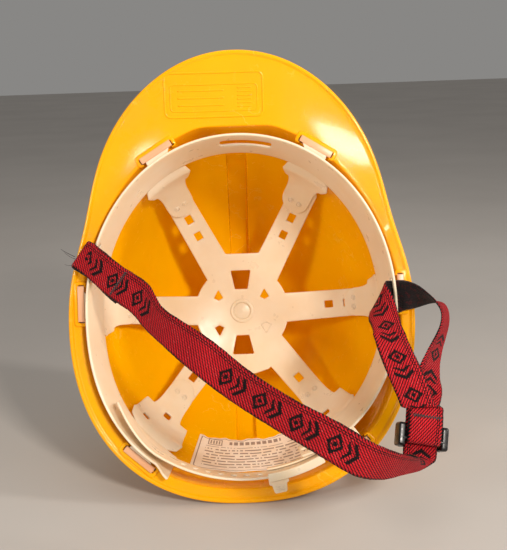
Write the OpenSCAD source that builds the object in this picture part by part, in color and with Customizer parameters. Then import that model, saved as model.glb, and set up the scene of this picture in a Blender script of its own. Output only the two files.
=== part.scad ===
// Safety helmet lying on its rear rim and crown, opening toward -Y, brim up.
// Helmet's own frame: x right, y toward the brim, z out of the opening, rim plane at z = 0.

/* [Shell] */
// half width over the rim
rim_half_w = 107.5; // [104:0.5:112]
// brim tip ahead of the middle of the head
brim_reach = 161.5; // [152:0.5:172]
// rim behind the middle of the head
rear_reach = 118; // [115:0.5:124]
// depth of the dome outside
dome_depth = 148.4; // [146:0.2:156]
// wall of the shell
wall = 2.4; // [2:0.1:2.8]
// droop of the brim's tip
brim_droop = 8; // [0:0.5:14]
// width of the centre ridge
ridge_w = 17.2; // [15:0.2:22]
// height of the centre ridge
ridge_h = 4.6; // [3:0.2:6]

/* [Harness] */
// depth of the headband
band_h = 32; // [26:1:36]
// thickness of the harness plastic
plastic = 1.6; // [1.2:0.1:1.8]
// depth of the hub under the rim plane
hub_depth = 106; // [102:1:110]
// width of an arm at the hub
arm_w = 22; // [18:0.5:24]

/* [Chin strap] */
// width of the webbing
web_w = 20; // [18:0.5:20]
// thickness of the webbing
web_t = 1.3; // [1:0.1:1.4]

/* [Output] */
// node to draw

/* [Hidden] */
$fn = 48;

yellow = [0.96, 0.67, 0.0];
milky = [0.93, 0.87, 0.78];
red = [0.62, 0.06, 0.08];
black = [0.05, 0.05, 0.05];

// ---- outlines in the rim plane, polar angle f from the brim toward the right ----
function se(f, a, bf, nf, br, nr) =
  let (c = cos(f), s = abs(sin(f)), b = c >= 0 ? bf : br, n = c >= 0 ? nf : nr)
  pow(pow(s / a, n) + pow(abs(c) / b, n), -1 / n);
function rim(f) = se(f, rim_half_w, brim_reach, 2.05, rear_reach, 2.3)
  * (1 - 0.049 * exp(-pow((abs(f) - 59) / 18, 2)));
function mouth(f) = let (r = se(f, rim_half_w - 9, 119, 1.9, rear_reach - 9, 2.3))
  cos(f) > 0.3 ? min(r, 115.3 / cos(f)) : r;
function prof(t) = (1 - 0.27 * t) * pow(max(0, 1 - pow(t, 4.6)), 1 / 2.2);
function q2t(q) = 1 - pow(1 - q, 1.9);
function pol(r, f, z) = [r * sin(f), r * cos(f), z];
function smooth(x) = let (u = min(1, max(0, x))) u * u * (3 - 2 * u);
function wrap(f) = f > 180 ? f - 360 : f <= -180 ? f + 360 : f;
dome_in = dome_depth - wall;

// band: outer face of the headband at height z; the right rear end runs further in
band_top = 9;
band_taper = 0.155;
function band_out(f, z) = let (w = wrap(f), k = smooth((w - 92) / 26) )
  se(w, 95.5, 109.5, 2.05, 107, 2.25) * (1 - k) + k * se(w, 95.5, 109.5, 2.05, 97, 2.1)
  - band_taper * (band_top - z);

// cradle: radius of the arms' mid surface at depth d, and its depth at radius r
function arm_R(f) = let (w = wrap(f)) se(w, 92, 102, 2, w > 90 ? 95 : 101, 2);
arm_rise = 80;
arm_z0 = hub_depth - arm_rise;
function arm_r(f, d) = arm_R(f) * sqrt(max(0, 1 - pow((d - arm_z0) / arm_rise, 2)));

// ---- how it stands: on the rear rim and the ridge behind the crown ----
rim_low = -1.9;
rest_tilt = min([for (k = [12:39]) let (p = raised(-1, rear_reach - 9 + wall, dome_depth, k / 40, ridge_h))
  atan((rear_reach + p[0]) / (rim_low - p[1]))]);
lift = rear_reach * cos(rest_tilt) - rim_low * sin(rest_tilt);
shift = [-9.2, -15.1, 0];

module place() translate([shift[0], shift[1], lift]) rotate([90 - rest_tilt, 0, 0]) children();

// closed solid through rings of the same number of points
module loft(s) {
  m = len(s); n = len(s[0]);
  polyhedron([for (r = s) each r], concat(
    [[for (i = [0:n-1]) i]], [[for (i = [n-1:-1:0]) (m-1)*n + i]],
    [for (k = [0:m-2]) for (i = [0:n-1]) let (j = (i+1) % n)
      each [[k*n+i, (k+1)*n+i, (k+1)*n+j], [k*n+i, (k+1)*n+j, k*n+j]]]), convexity = 8);
}

// ---- shell ----
NA = 72;
fs = [for (i = [0:NA-1]) -180 + 360 * i / NA];
function brim_z(f) = brim_droop * pow(max(0, cos(f)), 3);
function lip(f, back, up) = let (r = rim(f), z = brim_z(f)) pol(r - back, f, z + up);
function outer_ring(q) = let (t = q2t(q)) [for (f = fs) pol((mouth(f) + wall) * prof(t), f, -dome_depth * t)];
function inner_ring(q) = let (t = q2t(q)) [for (f = fs) pol(mouth(f) * prof(t), f, -dome_in * t)];
qs = [for (k = [1:19]) k / 20, 0.99];

module outer_body() loft(concat(
  [[for (f = fs) pol(2, f, 0)], [for (f = fs) pol(mouth(f) + 0.8, f, 0)]],
  [[for (f = fs) lip(f, 3.2, -0.2)], [for (f = fs) lip(f, 2.2, 0.7)],
   [for (f = fs) lip(f, 0.8, 0.7)], [for (f = fs) lip(f, 0, -0.5)],
   [for (f = fs) lip(f, 0, rim_low)], [for (f = fs) lip(f, 0.9, rim_low - 0.8)]],
  [[for (f = fs) let (r = mouth(f) + wall + 2) pol(r, f, -2.8)]],
  [for (q = qs) outer_ring(q)]));
module cavity() loft(concat(
  [[for (f = fs) pol(mouth(f) + 0.5, f, 20)], [for (f = fs) pol(mouth(f) + 0.5, f, 0)],
   [for (f = fs) pol(mouth(f), f, -0.8)]],
  [for (q = qs) inner_ring(q)]));

function side_pt(sg, m, H, q) = [sg * m * prof(q2t(q)), -H * q2t(q)];
function side_n(sg, m, H, q) = let (d = side_pt(sg, m, H, min(0.999, q + 0.01)) - side_pt(sg, m, H, max(0, q - 0.01)))
  sg * [-d[1], d[0]] / norm(d);
function raised(sg, m, H, q, e) = let (p = side_pt(sg, m, H, q))
  p + side_n(sg, m, H, q) * e * smooth((-p[1] - (sg > 0 ? 36 : 66)) / 34);
function ridge_line(a, b, H, e, q0) = concat(
  [for (k = [q0:39]) raised(1, a, H, k / 40, e)],
  [for (k = [39:-1:q0]) raised(-1, b, H, k / 40, e)]);
module in_yz(w) rotate([90, 0, 90]) translate([0, 0, -w/2]) linear_extrude(w) children();
module ridge() in_yz(ridge_w) difference() {
  polygon(ridge_line(115.3 + wall, rear_reach - 9 + wall, dome_depth, ridge_h, 4));
  translate([0, 6]) square([150, 70], center = true);
}
module ridge_channel() in_yz(ridge_w - 3.2) polygon(ridge_line(115.3, rear_reach - 9, dome_in, ridge_h, 4));

// key sockets: [x, y, direction the slot faces]
keys = [[49.9, 100.5, 31.9], [98.8, 8, 90], [66.3, -88.4, 139]];
module mirrored(sg) { if (sg < 0) mirror([1, 0, 0]) children(); else children(); }
module at_key(k) translate([k[0], k[1], 0]) rotate([0, 0, -k[2]]) children();
module socket_block(k) at_key(k) difference() {
  hull() for (x = [-12, 12], y = [-1, 2.7]) translate([x, y, -20]) cylinder(r = 2, h = 21.2, $fn = 16);
  translate([0, -2.6, 5]) cube([21, 3.4, 16], center = true);
}
module socket_slot(k) at_key(k) translate([0, 0, -9]) cube([23.4, 3.4, 24], center = true);

module shell() color(yellow) place() difference() {
  union() {
    difference() {
      union() { outer_body(); ridge(); }
      cavity();
      ridge_channel();
    }
    difference() {
      union() for (k = keys, sg = [-1, 1]) mirrored(sg) socket_block(k);
      translate([0, 0, 3.2]) cube([300, 300, 4], center = true);
    }
  }
  for (k = keys, sg = [-1, 1]) mirrored(sg) socket_slot(k);
}

// ---- headband ----
bf0 = -154; bf1 = 160;
bfs = [for (i = [0:104]) bf0 + (bf1 - bf0) * i / 104];
function band_sec(f) = let (l = smooth((-148 - f) / 6), r = smooth((f - 150) / 10),
    z1 = band_top - 1.5 * l - 4 * r, z0 = band_top - band_h - 1 + 3 * l + 10 * r,
    a = band_out(f, z1) + 5 * l, b = band_out(f, z0) + 0.6 * l)
  [pol(a, f, z1), pol(a - plastic, f, z1), pol(b - plastic, f, z0), pol(b, f, z0)];
// slot along the band between two angles
module band_slot(f0, f1, z, h, n = 3) for (i = [0:n-1]) {
  a = f0 + (f1 - f0) * i / n; b = f0 + (f1 - f0) * (i + 1) / n;
  hull() for (f = [a, b], dz = [-1, 1]) translate(pol(band_out(f, z), f, z + dz * (h - 1) / 2))
    rotate([90, 0, -f]) cylinder(d = 1, h = 9, center = true, $fn = 12);
}
module headband() color(milky) place() difference() {
  loft([for (f = bfs) band_sec(f)]);
  band_slot(-5.4, 12.2, -4.6, 9, 4);
  band_slot(-76.5, -63, 4.1, 3.4, 3);
  band_slot(80.2, 93.4, 4.1, 3.4, 3);
  translate(pol(96, 156.5, -4)) rotate([0, 0, -156.5]) cube([8, 12, 6], center = true);
}

// ---- nape strap and its lock ----
nape_c = -3;
nape_r = 99.2;
function nape_out(f) = let (g = f < 0 ? f + 360 : f)
  nape_c * cos(g) + sqrt(nape_r * nape_r - pow(nape_c * sin(g), 2)) - 6.4 * smooth((g - 212) / 26);
nf0 = 150; nf1 = 236;
function nape_sec(g) = let (r = nape_out(g), e = smooth((g - 228) / 8) * 4)
  [pol(r, g, 12 - e), pol(r - 1.5, g, 12 - e), pol(r - 1.5, g, -8 + e), pol(r, g, -8 + e)];
module nape_hole(g) translate(pol(nape_out(g), g, 2)) rotate([0, 0, -g]) cube([3.2, 8, 5], center = true);
module nape_strap() color(milky) place() difference() {
  loft([for (i = [0:48]) nape_sec(nf0 + (nf1 - nf0) * i / 48)]);
  for (i = [0:6]) nape_hole(176 + i * 4.5);
}

module arc_wall(r0, r1, z0, z1, f0, f1) translate([0, nape_c, z0])
  rotate([0, 0, 90 - f1]) rotate_extrude(angle = f1 - f0, $fn = 180) translate([r0, 0]) square([r1 - r0, z1 - z0]);
lock_in = nape_r - 1.5;
module nape_lock() color(milky) place() union() {
  arc_wall(nape_r + 0.4, nape_r + 2, -10, 13.8, 152.4, 173);
  arc_wall(lock_in - 1.6, nape_r + 0.5, 12.5, 13.8, 152.4, 173);
  arc_wall(lock_in - 1.6, nape_r + 0.5, -10, -8.5, 152.4, 173);
  arc_wall(lock_in - 1.6, lock_in - 0.4, 8.6, 12.6, 152.4, 173);
  arc_wall(lock_in - 1.6, lock_in - 0.4, -8.6, -4.6, 152.4, 173);
  translate([0, nape_c, 0]) rotate([0, 0, -169.6]) translate([0, nape_r + 1.2, 9.4])
    linear_extrude(1.6) polygon([[-6, 0], [6, 0], [5.6, 3.2], [3.2, 8.8], [-3.2, 8.8], [-5.6, 3.2]]);
}

// ---- cradle ----
cfs = [for (f = fs) f + 1.3];
function dish(off, k) = let (u = min(1, k / 16), g = 90 * u)
  [for (f = cfs) pol((arm_R(f) + off) * cos(g), f, -arm_z0 - (arm_rise + off) * sin(g))];
module dish_body(off) loft(concat([[for (f = cfs) pol(arm_R(f) + off, f, 2)]],
  [for (k = [0:14]) dish(off, k)], [dish(off, 14.9)]));  // flat over the hub's middle
arms = [-28, 28, -87.5, 87.5, -141.5, 141.5];
function arm_x(f) = f == 28 ? 2.8 : 0;  // the right front arm lies a little off its radius
module arm_plan(f) rotate(-f) {
  translate([arm_x(f), 0]) hull() {
    translate([-arm_w/2, 12]) square([arm_w, 4]);
    translate([-9.3, arm_R(f) * (f < -140 ? 0.885 : 0.93)]) square([18.6, 1]);
  }
  circle(r = 12);
}
module arm_holes(f) rotate(-f) translate([arm_x(f), f < -140 ? -3.4 : 0]) for (y = [62.3, 74.7]) hull()
  for (x = [-2, 2], z = [-2.3, 2.3]) translate([x, y + z]) circle(r = 0.6, $fn = 8);
module kite(p) translate([p[0], p[1]]) scale([1, p[2]]) polygon([[0, 4.7], [3.3, -1.3], [0, -3.1], [-3.3, -1.3]]);
module keystone(h0, h1, w) polygon([[-4.6, h0], [4.6, h0], [w, h1], [-w, h1]]);
module cradle() color(milky) place() union() {
  intersection() {
    difference() { dish_body(0.8); dish_body(-0.8); }
    translate([0, 0, -hub_depth - 4]) linear_extrude(76) difference() {
      union() {
        circle(r = 34);
        polygon([[-13.5, 42], [14.5, 42], [21, 30], [-20, 30]]);
        polygon([[-16, -44], [8, -45.5], [18, -42.5], [24, -34], [-24, -34]]);
        for (f = arms) arm_plan(f);
      }
      keystone(16.3, 29.8, 7.2);
      mirror([0, 1]) keystone(17.8, 31.4, 7.7);
      for (f = arms) arm_holes(f);
      for (p = [[16.9, 11.4, 1], [-16.9, 11.4, 1], [-16.9, -13, -1]]) kite(p);
    }
  }
  translate([0, 0, -hub_depth - 0.1]) difference() {
    cylinder(d = 17, h = 2.6);
    translate([0, 0, 1.8]) cylinder(d = 12.5, h = 2);
  }
}

// ---- hangers: sheets bent over stations [angle, r, z, width, outline] ----
function outline(kind, f) = kind == 0 ? band_out(f, 0) : arm_R(f);
function st_n(s, i) = let (a = s[max(0, i-1)], b = s[min(len(s)-1, i+1)], d = [b[1] - a[1], b[2] - a[2]])
  [-d[1], d[0]] / norm(d);
function st_row(s, i, off, sg) = let (p = [s[i][1], s[i][2]] + st_n(s, i) * off, w = s[i][3], f0 = s[i][0],
    o0 = outline(s[i][4], f0 * sg))
  [for (j = [-3:3]) let (f = f0 + j * w / 6 / p[0] * 57.296) pol(p[0] * outline(s[i][4], f * sg) / o0, f, p[1])];
function rev(v) = [for (i = [len(v)-1:-1:0]) v[i]];
module bent_sheet(s, th, sg) loft([for (i = [0:len(s)-1]) concat(st_row(s, i, th/2, sg), rev(st_row(s, i, -th/2, sg)))]);
// point on the camera side of an arm, off its mid surface, at depth d
function arm_pt(f, d, off) = let (R = arm_R(f), g = asin((d - arm_z0) / arm_rise), n = [cos(g) / R, sin(g) / arm_rise])
  [R * cos(g), arm_z0 + arm_rise * sin(g)] - n / norm(n) * off;

th = 1.4;
// k: socket, fk: its polar angle, fa: the arm's, ww: wing width, wd: depth where the wings end,
// te: how much further the tongue reaches, hs: holes in the wing [angle, r, depth]
module hanger(k, fk, fa, ww, wd, sg, te = 0, hs = []) {
  rk = norm([k[0], k[1]]);
  zr = band_top - band_h - 1;
  fb = fk * 0.6 + fa * 0.4;
  b0 = band_out(fb * sg, 1.6) + 0.4 + th/2;
  b1 = band_out(fb * sg, zr) + 0.4 + th/2;
  in_off = 0.8 + 0.4 + th/2;
  function tr(d, w) = let (p = arm_pt(fa * sg, d, in_off)) [fa, p[0], -p[1], w, 1];
  t0 = tr(32, ww);
  rows = concat([[fk, rk + 0.4, 1.6, 20, 0], [fk, max(b0 + 3.6, rk - 4), 1.6, 17, 0], [fb, b0 + 1, 1.55, 15, 0],
     [fb, b0 - 0.05, 0.3, 15, 0], [fb, b0 * 0.5 + b1 * 0.5, -11, 15, 0],
     [fb, b1, zr - 0.6, 15.5, 0],
     [fa, b1 * 0.55 + t0[1] * 0.45, zr - 3.6, ww - 3, 0], t0],
    [for (d = [36:4:wd - 2]) tr(d, ww - 2 - (d - 36) / (wd - 36) * 3.5)], [tr(wd, ww - 6), tr(wd + 1.4, 23.4)],
    [for (d = [wd + 4.5:4:62 + te]) tr(d, max(19.8, 23 - (d - wd) * 0.3))],
    [tr(64 + te, 19.6), tr(68 + te, 19.3), tr(71 + te, 17.5), tr(72.8 + te, 13), tr(73.8 + te, 7)]);
  mirrored(sg) {
    difference() {
      bent_sheet(rows, th, sg);
      for (p = hs) translate(pol(p[1], p[0], -p[2]))
        rotate([0, 0, -p[0]]) rotate([30, 0, 0]) cube([5, 12, 6], center = true);
    }
    at_key(k) {
      translate([0, 0, -7]) cube([22.2, 2.3, 17.4], center = true);
      translate([-11, -2.1, 1.7]) cube([22, 4.2, 1.1]);
    }
    g = asin((66 + te - arm_z0) / arm_rise);
    q = arm_pt(fa * sg, 66 + te, in_off + 0.65);
    rotate([0, 0, -fa]) for (x = [-3.2, 3.2]) translate([x, q[0], -q[1]])
      rotate([90 - atan2(sin(g) / arm_rise, cos(g) / arm_R(fa * sg)), 0, 0]) cylinder(d = 2.6, h = 1.5, center = true, $fn = 20);
  }
}
fk_f = 26.4; fk_s = 85.4; fk_r = 143.1;
module hanger_front_left() color(milky) place() hanger(keys[0], fk_f, 28, 34, 41, -1);
module hanger_front_right() color(milky) place() hanger(keys[0], fk_f, 28, 34, 41, 1);
module hanger_side_left() color(milky) place() hanger(keys[1], fk_s, 87.5, 34, 47, -1);
module hanger_side_right() color(milky) place() hanger(keys[1], fk_s, 87.5, 34, 47, 1);
module hanger_rear_left() color(milky) place() hanger(keys[2], fk_r, 141.5, 42, 57, -1, 12, [[135.3, 93, 36], [142.5, 87.2, 56.5]]);
module hanger_rear_right() color(milky) place() hanger(keys[2], fk_r, 141.5, 40, 56, 1, 7, [[142.5, 87.8, 47.2]]);

// ---- chin strap: both edges of the webbing at stations along its run ----
main_e1 = [[-88,44,14],[-81,39,18],[-70,29,22],[-62,24,27],[-53,17,36],[-45,4,49],[-32,-5,59],
  [-15,-17,68],[-2,-28,78],[12,-38,86],[28,-48,95],[40,-54,101],[51,-60,105],[62,-68,105],
  [74,-74,98],[85,-79,84],[92,-82.5,69],[90,-83,57]];
main_e2 = [[-100,30,8],[-93,23,11.2],[-82,14,18],[-74,8,27],[-64,1,32],[-55,-9,39],[-45,-18,51],
  [-28,-32,68],[-14,-43,74],[0,-53,80],[18,-64,89],[30,-71,97],[40,-77,103],[54,-85,101],
  [69,-90,88],[84,-92,68],[96,-93,52],[103.4,-91,45.6]];
// second layer at the left: back through the band's slot and sewn behind the main run
fold_e1 = [[-62.3,23.1,25.9],[-69.7,28,20.9],[-78,35.4,11.5],[-83,39.6,5.6],[-87.6,43,4.2],[-91,45.4,5],
  [-92.2,46,8.4],[-90.6,45.4,12.2],[-88,44,14],[-84.5,41.5,16]];
fold_e2 = [[-74.3,7.1,26],[-81.8,13.1,16.9],[-87,18,8],[-90.2,21,4.6],[-95.2,25,3.9],[-99.6,28,3.4],
  [-103,30.6,4.6],[-102.8,31.4,7],[-100,30,8],[-96.5,26.5,9.6]];
// straight part of the outer strand, from the slider up
lo_a = [97.3, -86.5, 46]; lo_b = [102.4, -56, 39.1];
lo_t = (lo_b - lo_a) / norm(lo_b - lo_a);
lo_w0 = [-0.985, 0.03, 0.17];
lo_w1 = lo_w0 - (lo_w0 * lo_t) * lo_t;
lo_w = lo_w1 / norm(lo_w1);
lo_n = cross(lo_t, lo_w);
out_e1 = concat([for (k = [0:4]) lo_a + (lo_b - lo_a) * k / 4 + lo_w * 10],
  [[96.6,-49,40.7],[100.3,-36.6,41],[103.7,-29.8,41.2],[107.8,-23.7,39.6],[111.7,-18.2,37.3],[114.8,-13.1,35],
   [116.5,-8.6,32.2],[117.1,-4.5,29.2],[116,-0.6,26.8],[113.6,3.4,24.8],[110.3,7.4,21.8],[105.9,11.6,17.4],
   [101.4,14.3,13]]);
rl_e1 = [[116.5,-8.6,32.2],[117.1,-4.5,29.2],[116,-0.6,26.8],[113.6,3.4,24.8],[110.3,7.4,21.8],[105.9,11.6,17.4],
   [101.4,14.3,13],[97.8,15.2,6.2],[95,15.2,4.7],[92.2,15.2,4.7],[89.9,15.3,5.3],[88.7,15,7.6],[89,13.9,10.4],
   [90.2,10.5,13],[91.6,5,15.4],[93,-1.5,18.2],[94.2,-8,22.5],[95,-14,28.5]];
out_e2 = concat([for (k = [0:4]) lo_a + (lo_b - lo_a) * k / 4 - lo_w * 10],
  [[113.6,-51.6,34.9],[114.5,-43.7,29.4],[115.5,-35.7,26.8],[117.8,-27.7,23.6],[121.4,-19.6,19.8],[124,-13.2,16.6],
   [125.4,-6.6,13],[124.3,-1.1,9.6],[120.7,0.9,7],[115.7,0.5,5.7],[110.2,-1.2,4.9],[104.7,-2.5,4.5],[99.1,-3.5,4.2]]);
rl_e2 = [[125.4,-6.6,13],[124.3,-1.1,9.6],[120.7,0.9,7],[115.7,0.5,5.7],[110.2,-1.2,4.9],[104.7,-2.5,4.5],
   [99.1,-3.5,4.2],[98.4,-4.2,4],[95.4,-4.8,4],[92.6,-4.8,4.4],[87.5,-4.6,4.2],[82.6,-4.4,4.2],[78.6,-5,6.4],
   [76.6,-6.2,10.5],[75.9,-7.6,16],[75.4,-9.5,23],[75,-12.5,30.5],[75,-16,36.5]];
in_c = lo_a + lo_t * 24.9 + lo_n * 6.4;
in_e1 = [in_c - lo_w * 10, in_c + lo_t * 4 - lo_w * 10 + [-0.6, 0, 0.3], [107,-57,48],[104.5,-49.5,47.8],[101,-38,45],[98,-28,41.5],[96,-20,35],[94.6,-11.5,26],[93.2,-3,19.2],
  [91.8,4,15.8],[90.4,9.8,13.3]];
in_e2 = [in_c + lo_w * 10, in_c + lo_t * 4 + lo_w * 10 + [-0.6, 0, 0.3], [88,-57.5,51],[85.5,-51,50.4],[82,-41,47.5],[77.5,-28.5,43],[75.3,-18.5,37.4],[75.2,-11.8,29],[75.7,-8,18.6],
  [76.4,-6.4,12],[78.4,-5.1,6.8]];

// smooth curve through the stations
function cr(p, u) = let (n = len(p) - 1, x = min(n - 1e-6, max(0, u * n)), i = floor(x), t = x - i,
    a = p[max(0, i-1)], b = p[i], c = p[min(n, i+1)], d = p[min(n, i+2)])
  0.5 * ((2*b) + (c - a) * t + (2*a - 5*b + 4*c - d) * t*t + (3*b - a - 3*c + d) * t*t*t);
// webbing of constant width: section at u from two edge curves
function web_sec(a, b, u, du, th) = let (p = cr(a, u), q = cr(b, u), m = (p + q) / 2,
    w = (p - q) / norm(p - q) * web_w / 2,
    t = (cr(a, min(1, u + du)) + cr(b, min(1, u + du)) - cr(a, max(0, u - du)) - cr(b, max(0, u - du))) / 2,
    n0 = cross(t, w), n = n0 / norm(n0) * th / 2)
  [m + w + n, m - w + n, m - w - n, m + w - n];
module webbing(a, b, n, th = web_t) loft([for (i = [0:n]) web_sec(a, b, i / n, 0.5 / n, th)]);

// line the strap swings about, through both anchors
ax_a = [-93, 34, 6]; ax_b = [95, 7, 6];
ax_dir = (ax_b - ax_a) / norm(ax_b - ax_a);
module on_axis(p) translate(p) rotate([0, 0, atan2(ax_dir[1], ax_dir[0])]) rotate([0, 90, 0]) children();
free_x = 112.6;
module right_zone(x1) translate([x1 - 40, 8, 6]) cube([80, 60, 40], center = true);
module chin_strap() color(red) place() difference() {
  union() {
    webbing(concat(main_e1, out_e1), concat(main_e2, out_e2), 96);
    webbing(fold_e1, fold_e2, 24);
  }
  on_axis(ax_a) cylinder(r = 15.3, h = 70, center = true);
  right_zone(free_x);
}
module chin_strap_inner_strand() color(red) place() difference() {
  webbing(in_e1, in_e2, 30);
  on_axis(ax_b) cylinder(r = 17.6, h = 90, center = true);
}
module chin_loop_right() color(red) place() difference() {
  webbing(rl_e1, rl_e2, 46);
  translate([60 + free_x - 0.8, 0, 0]) cube([120, 300, 300], center = true);
  difference() {
    translate([74, 0, 20]) cube([46, 80, 80], center = true);
    on_axis(ax_b) cylinder(r = 16.8, h = 90, center = true);
  }
}
module chin_loop_left() color(red) place() intersection() {
  union() {
    webbing(main_e1, main_e2, 50);
    webbing(fold_e1, fold_e2, 24);
  }
  on_axis(ax_a) cylinder(r = 14.6, h = 70, center = true);
}

// ---- slider: rails, two end bars behind the webbing, a middle bar in front of it ----
sl_c = lo_a + lo_t * 11.4;
module slider_frame() multmatrix([[lo_w[0], lo_t[0], -lo_n[0], sl_c[0]], [lo_w[1], lo_t[1], -lo_n[1], sl_c[1]],
  [lo_w[2], lo_t[2], -lo_n[2], sl_c[2]], [0, 0, 0, 1]]) children();
module slider_bar(y, z, d) translate([0, y, z]) rotate([0, 90, 0]) cylinder(d = d, h = 24, center = true, $fn = 24);
bar_off = 3.7;
module strap_slider() color(black) place() slider_frame() {
  for (s = [-1, 1]) translate([s * 12.8, 0, -0.8]) cube([4, 13.4, 8.4], center = true);
  slider_bar(5.5, 2.2, 2.4);
  slider_bar(-5.5, 2.2, 2.4);
  slider_bar(-2, -bar_off, 2.4);
}
// the webbing's end sewn round the middle bar, with the stitches across it
module slider_loop() color(red) place() slider_frame() difference() {
  hull() {
    translate([0, -2, -bar_off]) rotate([0, 90, 0]) cylinder(d = 5.2, h = web_w, center = true, $fn = 24);
    translate([0, 12.4, -6.4]) cube([web_w, 0.8, 2.6], center = true);
  }
  hull() {
    translate([0, -2, -bar_off]) rotate([0, 90, 0]) cylinder(d = 2.8, h = web_w + 4, center = true, $fn = 24);
    translate([0, 7.4, -5.6]) cube([web_w + 4, 0.4, 0.4], center = true);
  }
}
module bar_tack_slider() color(black) place() slider_frame()
  translate([0, 11, -7.9]) rotate([-5.7, 0, 0]) cube([16, 1.6, 0.4], center = true);
module bar_tack_left() color(black) place() tack_at(main_e1, main_e2, 0.142);
module tack_at(a, b, u) {
  s = web_sec(a, b, u, 0.01, web_t);
  x = (s[0] - s[1]) / norm(s[0] - s[1]);
  n = (s[0] - s[3]) / norm(s[0] - s[3]);
  y = cross(n, x);
  c = (s[0] + s[1]) / 2 + n * 0.8;
  multmatrix([[x[0], y[0], n[0], c[0]], [x[1], y[1], n[1], c[1]], [x[2], y[2], n[2], c[2]], [0, 0, 0, 1]])
    cube([16, 1.6, 0.5], center = true);
}
module thread_tail() color(red) place() {
  translate([-99.7, 36.6, 12.6]) rotate([0, 78, 158]) cylinder(d = 0.7, h = 8, center = true, $fn = 12);
}

// ---- blank label on the rear wall ----
function label_sec(f, d) = let (t = d / dome_in, r = mouth(f) * prof(t) - 0.35) [r, r - 0.35];
module inner_label() color([0.9, 0.88, 0.82]) place() loft([for (i = [0:16]) let (f = 156 + 46 * i / 16)
  concat([for (k = [0:8]) let (d = 26 + 7 * k) pol(label_sec(f, d)[1], f, -d)],
    [for (k = [8:-1:0]) let (d = 26 + 7 * k) pol(label_sec(f, d)[0], f, -d)])]);

shell();
headband();
nape_strap();
nape_lock();
hanger_front_left();
hanger_front_right();
hanger_side_left();
hanger_side_right();
hanger_rear_left();
hanger_rear_right();
cradle();
chin_strap();
chin_strap_inner_strand();
chin_loop_left();
chin_loop_right();
strap_slider();
bar_tack_left();
slider_loop();
bar_tack_slider();
thread_tail();
inner_label();
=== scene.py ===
import math
import random

import bmesh
import bpy
import numpy as np
from mathutils import Matrix, Vector
from mathutils.geometry import delaunay_2d_cdt


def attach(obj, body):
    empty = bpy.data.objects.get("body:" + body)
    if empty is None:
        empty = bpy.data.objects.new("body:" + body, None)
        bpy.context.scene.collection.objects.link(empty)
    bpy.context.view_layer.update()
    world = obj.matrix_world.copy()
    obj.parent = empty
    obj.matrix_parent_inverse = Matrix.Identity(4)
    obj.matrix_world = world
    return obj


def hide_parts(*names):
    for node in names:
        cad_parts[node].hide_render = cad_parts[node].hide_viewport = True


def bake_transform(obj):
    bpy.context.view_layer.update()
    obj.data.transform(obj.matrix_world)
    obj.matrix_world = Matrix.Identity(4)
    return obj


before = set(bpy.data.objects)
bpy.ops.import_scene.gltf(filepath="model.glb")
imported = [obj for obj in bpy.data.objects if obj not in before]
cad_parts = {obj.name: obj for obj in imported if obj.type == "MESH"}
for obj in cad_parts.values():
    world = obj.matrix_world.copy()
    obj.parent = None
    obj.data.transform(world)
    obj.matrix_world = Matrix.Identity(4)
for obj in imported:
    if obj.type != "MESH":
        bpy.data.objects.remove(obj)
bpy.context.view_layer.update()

rnd = random.Random(7)
rng = np.random.default_rng(7)
scene = bpy.context.scene


# ------------------------------------------------------------ the helmet's own frame, in mm
def A(x):
    return np.asarray(x, float)


def sind(f):
    return np.sin(np.radians(f))


def cosd(f):
    return np.cos(np.radians(f))


def se(f, a, bf, nf, br, nr):
    f = A(f)
    c, s = cosd(f), np.abs(sind(f))
    b = np.where(c >= 0, bf, br)
    n = np.where(c >= 0, nf, nr)
    return ((s / a) ** n + (np.abs(c) / b) ** n) ** (-1.0 / n)


def wrap(f):
    return (A(f) + 180.0) % 360.0 - 180.0


def smooth(x):
    u = np.clip(x, 0, 1)
    return u * u * (3 - 2 * u)


RIM_A, BRIM, REAR, DEPTH, WALL = 107.5, 161.5, 118.0, 148.4, 2.4
DEPTH_IN = DEPTH - WALL
DROOP, RIDGE_H = 8.0, 4.6


def rim(f):
    w = wrap(f)
    return se(w, RIM_A, BRIM, 2.05, REAR, 2.3) * (1 - 0.049 * np.exp(-((np.abs(w) - 59) / 18) ** 2))


def mouth(f):
    w = wrap(f)
    r = se(w, RIM_A - 9, 119, 1.9, REAR - 9, 2.3)
    flat = 115.3 / np.maximum(cosd(w), 0.3)
    k = 1.6
    soft = -np.log(np.exp(-k * (r - 110)) + np.exp(-k * (np.minimum(flat, 200) - 110))) / k + 110
    return np.where(cosd(w) > 0.3, soft, r)


def prof(t):
    t = A(t)
    return (1 - 0.27 * t) * np.maximum(0, 1 - np.clip(t, 0, 1) ** 4.6) ** (1 / 2.2)


_q = np.linspace(0, 1, 6001)
_T = 1 - (1 - _q) ** 2.6
_PT = prof(_T)


def prof_inv(p):
    return np.interp(p, _PT[::-1], _T[::-1])


def q2t(q):
    return 1 - (1 - A(q)) ** 1.9


def pol(r, f, z):
    r, f, z = np.broadcast_arrays(A(r), A(f), A(z))
    return np.stack([r * sind(f), r * cosd(f), z], -1)


def side_pt(sg, m, H, q):
    return np.stack([sg * m * prof(q2t(q)), -H * q2t(q)], -1)


def side_n(sg, m, H, q):
    d = side_pt(sg, m, H, np.minimum(0.999, A(q) + 0.01)) - side_pt(sg, m, H, np.maximum(0, A(q) - 0.01))
    n = np.stack([-d[..., 1], d[..., 0]], -1) * sg
    return n / np.linalg.norm(n, axis=-1, keepdims=True)


def raised(sg, m, H, q, e):
    p = side_pt(sg, m, H, q)
    return p + side_n(sg, m, H, q) * (e * smooth((-p[..., 1:2] - (36 if sg > 0 else 66)) / 34))


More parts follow.
